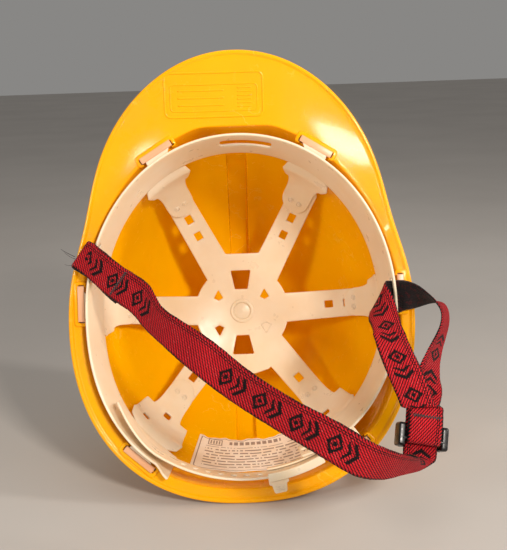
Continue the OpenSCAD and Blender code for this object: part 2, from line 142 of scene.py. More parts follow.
RIM_LOW = -1.9
TILT = min(math.degrees(math.atan((REAR + p[0]) / (RIM_LOW - p[1])))
           for k in range(12, 40) for p in [raised(-1, REAR - 9 + WALL, DEPTH, k / 40, RIDGE_H)])
LIFT = REAR * math.cos(math.radians(TILT)) - RIM_LOW * math.sin(math.radians(TILT))
SHIFT = (-9.2, -15.1)
_st, _ct = math.sin(math.radians(TILT)), math.cos(math.radians(TILT))


def P(p):
    """Helmet frame, mm, to the row frame, metres."""
    p = A(p)
    x, y, z = p[..., 0], p[..., 1], p[..., 2]
    return np.stack([x + SHIFT[0], y * _st - z * _ct + SHIFT[1], y * _ct + z * _st + LIFT], -1) / 1000.0


def PV(v):
    v = A(v)
    return np.stack([v[..., 0], v[..., 1] * _st - v[..., 2] * _ct, v[..., 1] * _ct + v[..., 2] * _st], -1)


BAND_TOP, BAND_H, TAPER, PL = 9.0, 32.0, 0.155, 1.6


def band_out(f, z):
    w = wrap(f)
    k = smooth((w - 92) / 26)
    return (se(w, 95.5, 109.5, 2.05, 107, 2.25) * (1 - k) + k * se(w, 95.5, 109.5, 2.05, 97, 2.1)
            - TAPER * (BAND_TOP - A(z)))


HUB, RISE = 106.0, 80.0
ARM_Z0 = HUB - RISE


def arm_R(f):
    w = wrap(f)
    a = se(w, 92, 102, 2, 101, 2)
    b = se(w, 92, 102, 2, 95, 2)
    k = smooth((w - 88) / 8)
    return a * (1 - k) + b * k


# ------------------------------------------------------------ camera
CAM_F, AX_PX, ROLL, CAM_D = 900.0, (242.0, 311.0), 2.2, 558.0
cr_, sr_ = math.cos(math.radians(ROLL)), math.sin(math.radians(ROLL))
right0, up0, back0 = A([cr_, -sr_, 0]), A([sr_, cr_, 0]), A([0, 0, 1])
look = right0 * (253.5 - AX_PX[0]) + up0 * (AX_PX[1] - 275.0) - back0 * CAM_F
back = -look / np.linalg.norm(look)
rgt = np.cross(up0, back)
rgt /= np.linalg.norm(rgt)
upv = np.cross(back, rgt)
cam_data = bpy.data.cameras.new("camera")
cam = bpy.data.objects.new("camera", cam_data)
scene.collection.objects.link(cam)
R = np.stack([PV(rgt), PV(upv), PV(back)], -1)
M = np.eye(4)
M[:3, :3] = R
M[:3, 3] = P([0, 0, CAM_D])
cam.matrix_world = Matrix(M.tolist())
cam_data.sensor_width = 36.0
cam_data.lens = CAM_F / 550.0 * 36.0
cam_data.clip_start, cam_data.clip_end = 0.01, 20
scene.camera = cam


# ------------------------------------------------------------ materials
class NT:
    def __init__(self, name):
        self.mat = bpy.data.materials.new(name)
        self.mat.use_nodes = True
        self.t = self.mat.node_tree
        self.t.nodes.clear()
        self.out = self.t.nodes.new("ShaderNodeOutputMaterial")
        self.bsdf = self.t.nodes.new("ShaderNodeBsdfPrincipled")
        self.t.links.new(self.bsdf.outputs[0], self.out.inputs[0])

    def n(self, kind, **kw):
        node = self.t.nodes.new("ShaderNode" + kind)
        for k, v in kw.items():
            if k.startswith("i_"):
                key = k[2:]
                key = int(key) if key.isdigit() else key.replace("_", " ")
                self.put(node.inputs[key], v)
            else:
                setattr(node, k, v)
        return node

    def put(self, socket, v):
        if isinstance(v, bpy.types.NodeSocket):
            self.t.links.new(v, socket)
        elif isinstance(v, bpy.types.Node):
            self.t.links.new(v.outputs[0], socket)
        else:
            socket.default_value = v

    def m(self, op, a, b=0.0, c=None, clamp=False):
        node = self.n("Math", operation=op, use_clamp=clamp)
        self.put(node.inputs[0], a)
        if op not in ("ABSOLUTE", "FRACT", "FLOOR", "SQRT", "SINE", "COSINE", "ROUND", "SIGN"):
            self.put(node.inputs[1], b)
        if c is not None:
            self.put(node.inputs[2], c)
        return node.outputs[0]

    def mix(self, fac, a, b):
        node = self.n("Mix", data_type="RGBA")
        self.put(node.inputs[0], fac)
        self.put(node.inputs[6], a)
        self.put(node.inputs[7], b)
        return node.outputs[2]

    def ramp(self, fac, lo, hi, a=0.0, b=1.0):
        node = self.n("MapRange", clamp=True)
        self.put(node.inputs[0], fac)
        for i, v in enumerate((lo, hi, a, b)):
            self.put(node.inputs[i + 1], v)
        return node.outputs[0]

    def noise(self, scale, detail=4.0, rough=0.55, vec=None):
        node = self.n("TexNoise")
        node.inputs["Scale"].default_value = scale
        node.inputs["Detail"].default_value = detail
        node.inputs["Roughness"].default_value = rough
        self.put(node.inputs["Vector"], vec if vec is not None else self.obj())
        return node.outputs[0]

    def obj(self):
        if not hasattr(self, "_tc"):
            self._tc = self.n("TexCoord")
        return self._tc.outputs["Object"]

    def uv(self):
        if not hasattr(self, "_uv"):
            self._uv = self.n("UVMap", uv_map="UVMap")
            s = self.n("SeparateXYZ")
            self.put(s.inputs[0], self._uv.outputs[0])
            self._u, self._v = s.outputs[0], s.outputs[1]
        return self._u, self._v

    def bump(self, height, strength, distance, prev=None):
        node = self.n("Bump")
        node.inputs["Strength"].default_value = strength
        node.inputs["Distance"].default_value = distance
        self.put(node.inputs["Height"], height)
        if prev is not None:
            self.put(node.inputs["Normal"], prev)
        return node.outputs[0]

    def set(self, **kw):
        for k, v in kw.items():
            self.put(self.bsdf.inputs[k.replace("_", " ")], v)


def col(r, g, b):
    """sRGB 0-255 to linear RGBA."""
    def f(c):
        c /= 255.0
        return c / 12.92 if c <= 0.04045 else ((c + 0.055) / 1.055) ** 2.4
    return (f(r), f(g), f(b), 1.0)


def shell_material():
    t = NT("shell_yellow_plastic")
    cloud = t.noise(9.0, 3.0)
    fine = t.noise(160.0, 3.0, 0.6)
    base = t.mix(t.ramp(cloud, 0.35, 0.68), col(252, 176, 0), col(246, 166, 0))
    # painted glow: deeper in the dome the base colour turns a lighter yellow, standing in for light passing through the
    # thin crown
    up = np.asarray(PV([0, 0, 1]), float)
    up /= np.linalg.norm(up)
    rim0 = -float(up @ np.asarray(P([0, 0, 0]), float))
    deep = t.n("VectorMath", operation="DOT_PRODUCT")
    t.put(deep.inputs[0], t.obj())
    deep.inputs[1].default_value = tuple(-up)
    base = t.mix(t.ramp(deep.outputs["Value"], rim0 + 0.015, rim0 + 0.075), base, col(255, 189, 0))
    # dust and handling marks in broad patches, and fine scratches
    dust = t.ramp(t.m("MULTIPLY", t.noise(28.0, 6.0, 0.7), t.ramp(cloud, 0.4, 0.7)), 0.36, 0.52)
    base = t.mix(t.m("MULTIPLY", dust, 0.16), base, col(222, 156, 40))
    wave = t.n("TexWave", wave_type="BANDS", bands_direction="DIAGONAL")
    t.put(wave.inputs["Vector"], t.obj())
    wave.inputs["Scale"].default_value = 22.0
    wave.inputs["Distortion"].default_value = 14.0
    wave.inputs["Detail"].default_value = 5.0
    wave.inputs["Detail Scale"].default_value = 3.0
    scratch = t.m("MULTIPLY", t.ramp(wave.outputs[1], 0.965, 0.998), t.ramp(t.noise(34.0, 2.0), 0.56, 0.66))
    base = t.mix(t.m("MULTIPLY", scratch, 0.35), base, col(255, 214, 96))
    t.set(Base_Color=base)
    t.set(Roughness=t.m("ADD", t.m("ADD", t.ramp(fine, 0.3, 0.75, 0.2, 0.3), t.m("MULTIPLY", dust, 0.16)), t.m("MULTIPLY", scratch, 0.2)))
    t.bsdf.inputs["IOR"].default_value = 1.5
    t.bsdf.inputs["Specular IOR Level"].default_value = 0.12
    t.bsdf.inputs["Coat Weight"].default_value = 0.34
    t.bsdf.inputs["Coat Roughness"].default_value = 0.055
    t.bsdf.inputs["Subsurface Weight"].default_value = 0.12
    t.bsdf.inputs["Subsurface Radius"].default_value = (0.004, 0.0018, 0.0002)
    t.bsdf.inputs["Subsurface Scale"].default_value = 1.0
    n1 = t.bump(t.noise(55.0, 2.0, 0.5), 0.25, 0.0006)
    n2 = t.bump(fine, 0.3, 0.0001, n1)
    n3 = t.bump(t.m("MULTIPLY", scratch, -1.0), 0.4, 0.0001, n2)
    t.set(Normal=n3)
    return t.mat


def milky_material(name, a, b):
    t = NT(name)
    cloud = t.noise(24.0, 4.0)
    flow = t.noise(90.0, 3.0, 0.6)
    base = t.mix(t.ramp(cloud, 0.32, 0.7), a, b)
    t.set(Base_Color=base)
    t.set(Roughness=t.ramp(flow, 0.3, 0.75, 0.26, 0.4))
    t.bsdf.inputs["IOR"].default_value = 1.5
    t.bsdf.inputs["Transmission Weight"].default_value = 0.06
    t.bsdf.inputs["Subsurface Weight"].default_value = 0.16
    t.bsdf.inputs["Subsurface Radius"].default_value = (0.004, 0.0032, 0.0022)
    t.bsdf.inputs["Subsurface Scale"].default_value = 1.0
    n1 = t.bump(t.noise(70.0, 3.0, 0.5), 0.3, 0.0005)
    n2 = t.bump(t.noise(700.0, 2.0, 0.6), 0.25, 0.00006, n1)
    t.set(Normal=n2)
    return t.mat


def webbing_front():
    """UV: u is mm along the webbing / 100, v is mm across / 100, both from the yarn's own place."""
    t = NT("webbing_red_face")
    u, v = t.uv()
    s = t.m("MULTIPLY", u, 100.0)
    w = t.m("MULTIPLY", v, 100.0)
    aw = t.m("ABSOLUTE", w)
    # ribs along the strap, each yarn float slanted against its neighbour
    rib = t.m("ABSOLUTE", t.m("SINE", t.m("MULTIPLY", w, math.pi / 1.25)))
    lean = t.m("MULTIPLY", t.m("ADD", t.m("MULTIPLY", s, 0.8), w), 1 / 1.8)
    flt = t.m("ABSOLUTE", t.m("SINE", t.m("MULTIPLY", lean, math.pi)))
    yarn = t.m("MULTIPLY", t.m("POWER", flt, 0.8), t.m("ADD", t.m("MULTIPLY", t.m("POWER", rib, 0.5), 0.6), 0.4))
    fuzz = t.noise(1400.0, 2.0, 0.6)
    worn = t.noise(60.0, 3.0)
    red = t.mix(t.ramp(worn, 0.3, 0.72), col(208, 24, 36), col(184, 16, 28))
    # lighter specks from the fibre fuzz, partly a painted highlight on the yarn
    red = t.mix(t.ramp(fuzz, 0.56, 0.74, 0.0, 0.55), red, col(240, 112, 112))
    # painted shade: the gaps between the yarn floats are darkened toward this colour, partly the weave's dark threads
    yarn_gap_shade = col(44, 4, 10)
    base = t.mix(t.ramp(yarn, 0.3, 0.8), yarn_gap_shade, red)
    # black selvedge with its stitches, and the double line beside one edge
    dash = t.m("SINE", t.m("MULTIPLY", t.m("ADD", s, t.m("MULTIPLY", w, 0.8)), 2 * math.pi / 2.1))
    edge = t.m("MULTIPLY", t.ramp(aw, 8.9, 9.15), t.ramp(dash, -0.35, -0.05))
    l1 = t.ramp(t.m("ABSOLUTE", t.m("SUBTRACT", w, 7.5)), 0.30, 0.42, 1.0, 0.0)
    l2 = t.ramp(t.m("ABSOLUTE", t.m("SUBTRACT", w, 6.3)), 0.26, 0.38, 1.0, 0.0)
    lines = t.m("MULTIPLY", t.m("MAXIMUM", l1, l2), t.ramp(t.m("SINE", t.m("MULTIPLY", s, 2 * math.pi / 1.4)), -0.75, -0.4))
    # woven figures: lozenges and chevrons in cells of 11.6 mm, in groups of eight with plain lengths between
    qs = t.m("MULTIPLY", t.m("FLOOR", t.m("MULTIPLY", s, 1 / 0.75)), 0.75)
    qw = t.m("MULTIPLY", t.m("FLOOR", t.m("MULTIPLY", w, 1 / 0.625)), 0.625)
    rept = t.m("MULTIPLY", t.m("FRACT", t.m("MULTIPLY", t.m("ADD", qs, 27.0), 1 / 150.0)), 150.0)
    cell = t.m("FLOOR", t.m("MULTIPLY", rept, 1 / 11.625))
    local = t.m("SUBTRACT", t.m("MULTIPLY", t.m("FRACT", t.m("MULTIPLY", rept, 1 / 11.625)), 11.625), 5.8)
    al, av = t.m("ABSOLUTE", local), t.m("ABSOLUTE", t.m("ADD", qw, 0.9))
    loz = t.m("ABSOLUTE", t.m("SUBTRACT", t.m("ADD", t.m("MULTIPLY", al, 1 / 4.6), t.m("MULTIPLY", av, 1 / 5.9)), 0.82))
    lozenge = t.ramp(loz, 0.2, 0.24, 1.0, 0.0)
    dot = t.ramp(t.m("ADD", al, av), 1.5, 1.8, 1.0, 0.0)
    fig_a = t.m("MAXIMUM", lozenge, dot)
    chev = t.m("ABSOLUTE", t.m("SUBTRACT", t.m("ADD", local, t.m("MULTIPLY", av, 0.62)), 1.2))
    fig_b = t.m("MULTIPLY", t.ramp(chev, 1.1, 1.3, 1.0, 0.0), t.ramp(av, 5.5, 5.7, 1.0, 0.0))
    chev2 = t.m("ABSOLUTE", t.m("SUBTRACT", t.m("ADD", local, t.m("MULTIPLY", av, 0.62)), -3.0))
    fig_b = t.m("MAXIMUM", fig_b, t.m("MULTIPLY", t.ramp(chev2, 0.75, 0.95, 1.0, 0.0), t.ramp(av, 5.5, 5.7, 1.0, 0.0)))
    odd = t.m("FLOOR", t.m("MULTIPLY", t.m("FRACT", t.m("MULTIPLY", cell, 0.5)), 2.0))
    fig = t.m("ADD", t.m("MULTIPLY", fig_a, t.m("SUBTRACT", 1.0, odd)), t.m("MULTIPLY", fig_b, odd))
    fig = t.m("MULTIPLY", fig, t.m("LESS_THAN", rept, 93.0))
    ends = t.n("Attribute", attribute_name="plain")
    fig = t.m("MULTIPLY", fig, t.m("SUBTRACT", 1.0, ends.outputs["Fac"]))
    speck = t.ramp(t.m("ADD", t.m("MULTIPLY", fuzz, 0.55), t.m("MULTIPLY", yarn, 0.45)), 0.3, 0.46)
    fig = t.m("MULTIPLY", fig, t.ramp(speck, 0.0, 1.0, 0.55, 1.0))
    black = t.m("MAXIMUM", t.m("MAXIMUM", edge, lines), fig, clamp=True)
    # grey specks on the black threads, partly fibre fuzz and partly a painted highlight
    blk = t.mix(t.ramp(fuzz, 0.5, 0.8, 0.0, 0.5), col(8, 5, 6), col(48, 34, 38))
    base = t.mix(black, base, blk)
    # darkens the face toward a dull red by a per-point weight, which web_mesh sets to zero everywhere
    darken_attr = t.n("Attribute", attribute_name="soil")
    base = t.mix(t.m("MULTIPLY", darken_attr.outputs["Fac"], 0.5), base, col(60, 20, 22))
    t.set(Base_Color=base)
    t.set(Roughness=t.ramp(fuzz, 0.2, 0.8, 0.62, 0.9))
    t.bsdf.inputs["Sheen Weight"].default_value = 0.03
    t.bsdf.inputs["Sheen Roughness"].default_value = 0.45
    t.bsdf.inputs["Specular IOR Level"].default_value = 0.16
    n1 = t.bump(yarn, 1.0, 0.0005)
    n2 = t.bump(fuzz, 0.5, 0.00012, n1)
    t.set(Normal=n2)
    return t.mat


def webbing_back():
    t = NT("webbing_black_face")
    u, v = t.uv()
    s = t.m("MULTIPLY", u, 100.0)
    w = t.m("MULTIPLY", v, 100.0)
    rib = t.m("ABSOLUTE", t.m("SINE", t.m("MULTIPLY", w, math.pi / 1.25)))
    flt = t.m("ABSOLUTE", t.m("SINE", t.m("MULTIPLY", t.m("ADD", t.m("MULTIPLY", s, 1 / 1.1), t.m("MULTIPLY", w, 0.8)), math.pi)))
    yarn = t.m("MULTIPLY", t.m("POWER", rib, 0.6), t.m("ADD", t.m("MULTIPLY", flt, 0.6), 0.4))
    fuzz = t.noise(1400.0, 2.0, 0.6)
    # painted shade between the ribs: the low parts of the weave are darker than the rib tops
    base = t.mix(t.ramp(yarn, 0.2, 0.8), col(6, 5, 6), col(34, 26, 29))
    base = t.mix(t.ramp(fuzz, 0.6, 0.78, 0.0, 0.6), base, col(84, 62, 66))
    red = t.m("MULTIPLY", t.ramp(flt, 0.93, 0.99), t.ramp(t.noise(500.0, 1.0), 0.55, 0.62))
    base = t.mix(red, base, col(120, 16, 22))
    t.set(Base_Color=base)
    t.set(Roughness=t.ramp(fuzz, 0.2, 0.8, 0.65, 0.92))
    t.bsdf.inputs["Sheen Weight"].default_value = 0.08
    t.bsdf.inputs["Sheen Roughness"].default_value = 0.4
    t.bsdf.inputs["Specular IOR Level"].default_value = 0.2
    n1 = t.bump(yarn, 0.9, 0.00035)
    n2 = t.bump(fuzz, 0.6, 0.00015, n1)
    t.set(Normal=n2)
    return t.mat


def black_plastic():
    t = NT("slider_black_plastic")
    fine = t.noise(500.0, 3.0)
    scuff = t.ramp(t.noise(180.0, 5.0, 0.7), 0.6, 0.72)
    base = t.mix(t.m("MULTIPLY", scuff, 0.5), col(14, 13, 14), col(58, 55, 54))
    t.set(Base_Color=base)
    t.set(Roughness=t.ramp(fine, 0.3, 0.7, 0.24, 0.42))
    n1 = t.bump(fine, 0.3, 0.00008)
    t.set(Normal=n1)
    return t.mat


def thread_material(name, a, b):
    t = NT(name)
    f = t.noise(2600.0, 2.0)
    t.set(Base_Color=t.mix(t.ramp(f, 0.35, 0.7), a, b))
    t.set(Roughness=t.ramp(f, 0.3, 0.7, 0.5, 0.75))
    t.bsdf.inputs["Sheen Weight"].default_value = 0.3
    t.set(Normal=t.bump(f, 0.6, 0.0001))
    return t.mat


def label_material():
    """UV: mm along and across the label / 100."""
    t = NT("label_paper_printed")
    u, v = t.uv()
    s = t.m("MULTIPLY", u, 100.0)
    w = t.m("MULTIPLY", v, 100.0)
    stain = t.noise(60.0, 4.0)
    base = t.mix(t.ramp(stain, 0.3, 0.75), col(254, 250, 240), col(246, 234, 214))
    row = t.m("MULTIPLY", w, 1 / 2.9)
    inrow = t.ramp(t.m("ABSOLUTE", t.m("SUBTRACT", t.m("FRACT", row), 0.5)), 0.16, 0.22, 1.0, 0.0)
    rid = t.m("FLOOR", row)
    key = t.n("CombineXYZ")
    t.put(key.inputs[0], t.m("FLOOR", t.m("MULTIPLY", s, 1 / 0.9)))
    t.put(key.inputs[1], t.m("MULTIPLY", rid, 7.3))
    wn = t.n("TexWhiteNoise", noise_dimensions="2D")
    t.put(wn.inputs["Vector"], key.outputs[0])
    dashes = t.m("GREATER_THAN", wn.outputs[0], 0.27)
    ends = t.m("MULTIPLY", t.ramp(s, 5.0, 5.3), t.ramp(s, 66.0, 66.3, 1.0, 0.0))
    body = t.m("MULTIPLY", t.ramp(w, 4.0, 4.2), t.ramp(w, 24.5, 24.7, 1.0, 0.0))
    small = t.m("MULTIPLY", t.m("MULTIPLY", inrow, dashes), t.m("MULTIPLY", ends, body))
    # a plain heading bar and a framed block at the left
    hb = t.m("MULTIPLY", t.ramp(t.m("ABSOLUTE", t.m("SUBTRACT", w, 28.6)), 1.3, 1.5, 1.0, 0.0),
             t.m("MULTIPLY", t.ramp(s, 18.0, 18.3), t.ramp(s, 48.0, 48.3, 1.0, 0.0)))
    hb = t.m("MULTIPLY", hb, t.m("GREATER_THAN", t.m("FRACT", t.m("MULTIPLY", s, 1 / 3.3)), 0.3))
    bx, by = t.m("ABSOLUTE", t.m("SUBTRACT", s, 10.0)), t.m("ABSOLUTE", t.m("SUBTRACT", w, 28.6))
    boxd = t.m("MAXIMUM", t.m("SUBTRACT", bx, 3.8), t.m("SUBTRACT", by, 2.4))
    frame_line = t.ramp(t.m("ABSOLUTE", boxd), 0.25, 0.4, 1.0, 0.0)
    bars = t.m("MULTIPLY", t.ramp(boxd, -0.9, -0.8, 1.0, 0.0), t.m("GREATER_THAN", t.m("FRACT", t.m("MULTIPLY", s, 1 / 1.6)), 0.45))
    ink = t.m("MAXIMUM", t.m("MAXIMUM", small, hb), t.m("MAXIMUM", frame_line, bars), clamp=True)
    bd = t.n("Attribute", attribute_name="edge")
    border = t.ramp(t.m("ABSOLUTE", t.m("SUBTRACT", bd.outputs["Fac"], 0.016)), 0.002, 0.0035, 1.0, 0.0)
    ink = t.m("MAXIMUM", t.m("MULTIPLY", ink, 0.72), t.m("MULTIPLY", border, 0.8))
    base = t.mix(ink, base, col(84, 58, 46))
    t.set(Base_Color=base)
    t.set(Roughness=t.ramp(stain, 0.3, 0.7, 0.3, 0.42))
    t.bsdf.inputs["Coat Weight"].default_value = 0.3
    t.bsdf.inputs["Coat Roughness"].default_value = 0.2
    t.set(Normal=t.bump(t.noise(120.0, 3.0), 0.35, 0.0004))
    return t.mat


M_SHELL = shell_material()
M_MILK = milky_material("harness_milky_plastic", col(248, 231, 206), col(240, 214, 178))
M_KEY = milky_material("harness_key_plastic", col(238, 180, 138), col(228, 162, 116))
M_RED = webbing_front()
M_BLACK = webbing_back()
M_SLIDER = black_plastic()
M_THREAD = thread_material("thread_black", col(14, 12, 13), col(52, 46, 48))
M_THREAD_R = thread_material("thread_red", col(120, 14, 20), col(176, 30, 34))
M_LABEL = label_material()


# ------------------------------------------------------------ mesh building
class MB:
    """Collects vertices in the helmet frame, mm, with faces, material numbers, UVs and point values."""

    def __init__(self):
        self.v, self.f, self.m, self.uv, self.att = [], [], [], [], {}
        self.n = 0

    def add(self, verts, faces, mat=0, uv=None, **att):
        verts = A(verts).reshape(-1, 3)
        k = self.n
        self.v.append(verts)
        self.f += [tuple(int(i) + k for i in f) for f in faces]
        self.m += [mat] * len(faces) if np.isscalar(mat) else list(mat)
        self.uv.append(np.zeros((len(verts), 2)) if uv is None else A(uv).reshape(-1, 2))
        for name, val in att.items():
            self.att.setdefault(name, np.zeros(k))
            self.att[name] = np.concatenate([self.att[name], np.zeros(k - len(self.att[name])), A(val).ravel()])
        self.n += len(verts)
        return k

    def object(self, name, mats, body=None, sharp=None, slot=None, weld=None, world=False):
        me = bpy.data.meshes.new(name)
        v = np.concatenate(self.v)
        v = v if world else P(v)
        me.from_pydata(v.tolist(), [], self.f)
        for m_ in mats:
            me.materials.append(m_)
        me.polygons.foreach_set("material_index", self.m)
        uv = np.concatenate(self.uv)
        layer = me.uv_layers.new(name="UVMap")
        loops = np.zeros(len(me.loops), np.int32)
        me.loops.foreach_get("vertex_index", loops)
        layer.data.foreach_set("uv", uv[loops].astype(np.float32).ravel())
        for k, val in self.att.items():
            val = np.concatenate([val, np.zeros(self.n - len(val))])
            a = me.attributes.new(k, "FLOAT", "POINT")
            a.data.foreach_set("value", val.astype(np.float32))
        ob = bpy.data.objects.new(name, me)
        scene.collection.objects.link(ob)
        finish_mesh(ob, sharp, weld)
        if body:
            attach(ob, body)
        return ob


def finish_mesh(ob, sharp=None, weld=None, normals=True):
    bm = bmesh.new()
    bm.from_mesh(ob.data)
    if weld:
        bmesh.ops.remove_doubles(bm, verts=bm.verts, dist=weld)
    bmesh.ops.dissolve_degenerate(bm, edges=bm.edges, dist=1e-7)
    if normals:
        bmesh.ops.recalc_face_normals(bm, faces=bm.faces)
    for f in bm.faces:
        f.smooth = True
    if sharp is not None:
        lim = math.radians(sharp)
        for e in bm.edges:
            if len(e.link_faces) == 2 and e.calc_face_angle(0.0) > lim:
                e.smooth = False
    bm.to_mesh(ob.data)
    bm.free()
    ob.data.update()


def grid_faces(nr, nc, closed_c=False, closed_r=False, off=0):
    fs = []
    for i in range(nr if closed_r else nr - 1):
        for j in range(nc if closed_c else nc - 1):
            a, b = off + i * nc + j, off + i * nc + (j + 1) % nc
            c, d = off + ((i + 1) % nr) * nc + (j + 1) % nc, off + ((i + 1) % nr) * nc + j
            fs.append((a, b, c, d))
    return fs


def fillet(pts, rad, seg=6):
    pts = [A(p) for p in pts]
    n = len(pts)
    rad = [rad] * n if np.isscalar(rad) else rad
    out = []
    for i in range(n):
        p0, p1, p2, r = pts[i - 1], pts[i], pts[(i + 1) % n], rad[i]
        v1, v2 = p0 - p1, p2 - p1
        l1, l2 = np.linalg.norm(v1), np.linalg.norm(v2)
        if r <= 0 or l1 < 1e-6 or l2 < 1e-6:
            out.append(p1)
            continue
        v1, v2 = v1 / l1, v2 / l2
        a = math.acos(max(-1, min(1, float(v1 @ v2))))
        if a > math.radians(172):
            out.append(p1)
            continue
        d = min(r / math.tan(a / 2), 0.47 * l1, 0.47 * l2)
        rr = d * math.tan(a / 2)
        bis = (v1 + v2) / np.linalg.norm(v1 + v2)
        c = p1 + bis * (rr / math.sin(a / 2))
        s, e = p1 + v1 * d - c, p1 + v2 * d - c
        a0, a1 = math.atan2(s[1], s[0]), math.atan2(e[1], e[0])
        da = (a1 - a0 + math.pi) % (2 * math.pi) - math.pi
        k = max(2, int(seg * abs(da) / (math.pi / 2) + 1))
        out += [c + rr * A([math.cos(a0 + da * j / k), math.sin(a0 + da * j / k)]) for j in range(k + 1)]
    return A(out)


def resample(loop, step):
    loop = A(loop)
    out = []
    n = len(loop)
    for i in range(n):
        a, b = loop[i], loop[(i + 1) % n]
        d = np.linalg.norm(b - a)
        if d < 0.02:
            continue
        k = max(1, int(math.ceil(d / step)))
        out += [a + (b - a) * j / k for j in range(k)]
    return A(out)


def area2(loop):
    x, y = loop[:, 0], loop[:, 1]
    return 0.5 * np.sum(x * np.roll(y, -1) - np.roll(x, -1) * y)


def inside(pts, loop):
    pts = A(pts)
    c = np.zeros(len(pts), bool)
    x, y = pts[:, 0], pts[:, 1]
    for i in range(len(loop)):
        x1, y1 = loop[i]
        x2, y2 = loop[(i + 1) % len(loop)]
        if y1 == y2:
            continue
        t = ((y1 > y) != (y2 > y)) & (x < (x2 - x1) * (y - y1) / (y2 - y1) + x1)
        c ^= t
    return c


def offset_loop(loop, d):
    """Every loop has its material on the left, so a positive d goes into the material."""
    a = loop - np.roll(loop, 1, 0)
    b = np.roll(loop, -1, 0) - loop
    a /= np.linalg.norm(a, axis=1, keepdims=True)
    b /= np.linalg.norm(b, axis=1, keepdims=True)
    na, nb = np.stack([-a[:, 1], a[:, 0]], 1), np.stack([-b[:, 1], b[:, 0]], 1)
    n = na + nb
    ln = np.linalg.norm(n, axis=1, keepdims=True)
    n = n / np.maximum(ln, 1e-6)
    k = 1 / np.maximum(0.6, np.sum(n * na, 1, keepdims=True))
    return loop + n * k * d


def triangulate(loops, spacing):
    """Triangles of the region left of all loops, with a grid of points inside."""
    pts = np.concatenate(loops)
    edges, k = [], 0
    for lp in loops:
        edges += [(k + i, k + (i + 1) % len(lp)) for i in range(len(lp))]
        k += len(lp)
    lo, hi = pts.min(0), pts.max(0)
    gx, gy = np.meshgrid(np.arange(lo[0], hi[0], spacing), np.arange(lo[1], hi[1], spacing * 0.87))
    gx = gx + (np.arange(gx.shape[0]) % 2 * spacing / 2)[:, None]
    g = np.stack([gx.ravel(), gy.ravel()], 1)
    ins = inside(g, loops[0])
    for lp in loops[1:]:
        ins &= ~inside(g, lp)
    g = g[ins]
    if len(g):
        keep = np.ones(len(g), bool)
        for i in range(0, len(g), 400):
            d = np.sqrt(((g[i:i + 400, None] - pts[None]) ** 2).sum(-1)).min(1)
            keep[i:i + 400] = d > spacing * 0.62
        g = g[keep]
    allp = np.concatenate([pts, g]) if len(g) else pts
    res = delaunay_2d_cdt([Vector(p) for p in allp], edges, [], 0, 1e-7)
    v, f, orig = res[0], res[2], res[3]
    back_ = [o[0] if len(o) else -1 for o in orig]
    f = np.array([t for t in f if len(t) == 3])
    vv = A([list(p) for p in v])
    cen = vv[f].mean(1)
    ok = inside(cen, loops[0])
    for lp in loops[1:]:
        ok &= ~inside(cen, lp)
    idx = np.array(back_)
    ins_e = set(edges)
    out_e = set((b, a) for a, b in edges)
    for i, t in enumerate(idx[f]):
        es = [(int(t[j]), int(t[(j + 1) % 3])) for j in range(3)]
        if any(e in ins_e for e in es):
            ok[i] = True
        elif any(e in out_e for e in es):
            ok[i] = False
    f = f[ok]
    if (idx[f] < 0).any():
        raise ValueError("outlines cross near %s" % vv[np.unique(f[idx[f] < 0])][:6])
    return allp, idx[f]


def plate(mb, outer, holes, fmap, T, r=None, step=1.6, spacing=3.0, mat=0, uvs=0.01, fr=(0, 0.12, 0.4, 0.72, 1.0), mid=0.0):
    """A sheet of thickness T with rounded edges. fmap(x, y, off) gives points, off from -T/2 to T/2."""
    r = T / 2 if r is None else r
    outer = resample(outer, step)
    if area2(outer) < 0:
        outer = outer[::-1]
    loops = [outer]
    for h in holes:
        h = resample(h, step)
        loops.append(h if area2(h) < 0 else h[::-1])
    rings = []
    for fq in fr:
        rings.append([offset_loop(lp, fq * r) for lp in loops])
    inner = rings[-1]
    pts, tris = triangulate(inner, spacing)
    nl = sum(len(lp) for lp in loops)
    half = [T / 2 * math.sqrt(max(0.0, 1 - (1 - fq) ** 2)) for fq in fr]
    verts, uv, edge = [], [], []

    def put(p2, h, e):
        k = sum(len(x) for x in verts)
        verts.append(fmap(p2[:, 0], p2[:, 1], h))
        uv.append(p2 * uvs)
        edge.append(np.full(len(p2), e * 1.0))
        return k
    edge_k = put(np.concatenate(rings[0]), 0.0, 0.0)
    up, dn = [], []
    for i in range(1, len(fr)):
        cat = np.concatenate(rings[i]) if i < len(fr) - 1 else pts
        up.append(put(cat, half[i], fr[i] * r * 0.01))
        dn.append(put(cat, -half[i], fr[i] * r * 0.01))
    faces = []
    for side, sgn in ((up, 1), (dn, -1)):
        prev = edge_k
        for k in side:
            o = 0
            for lp in loops:
                m_ = len(lp)
                for j in range(m_):
                    q = (prev + o + j, prev + o + (j + 1) % m_, k + o + (j + 1) % m_, k + o + j)
                    faces.append(q if sgn > 0 else q[::-1])
                o += m_
            prev = k
        for t_ in tris:
            q = tuple(prev + t_)
            faces.append(q if sgn > 0 else q[::-1])
    return mb.add(np.concatenate(verts), faces, mat, np.concatenate(uv))


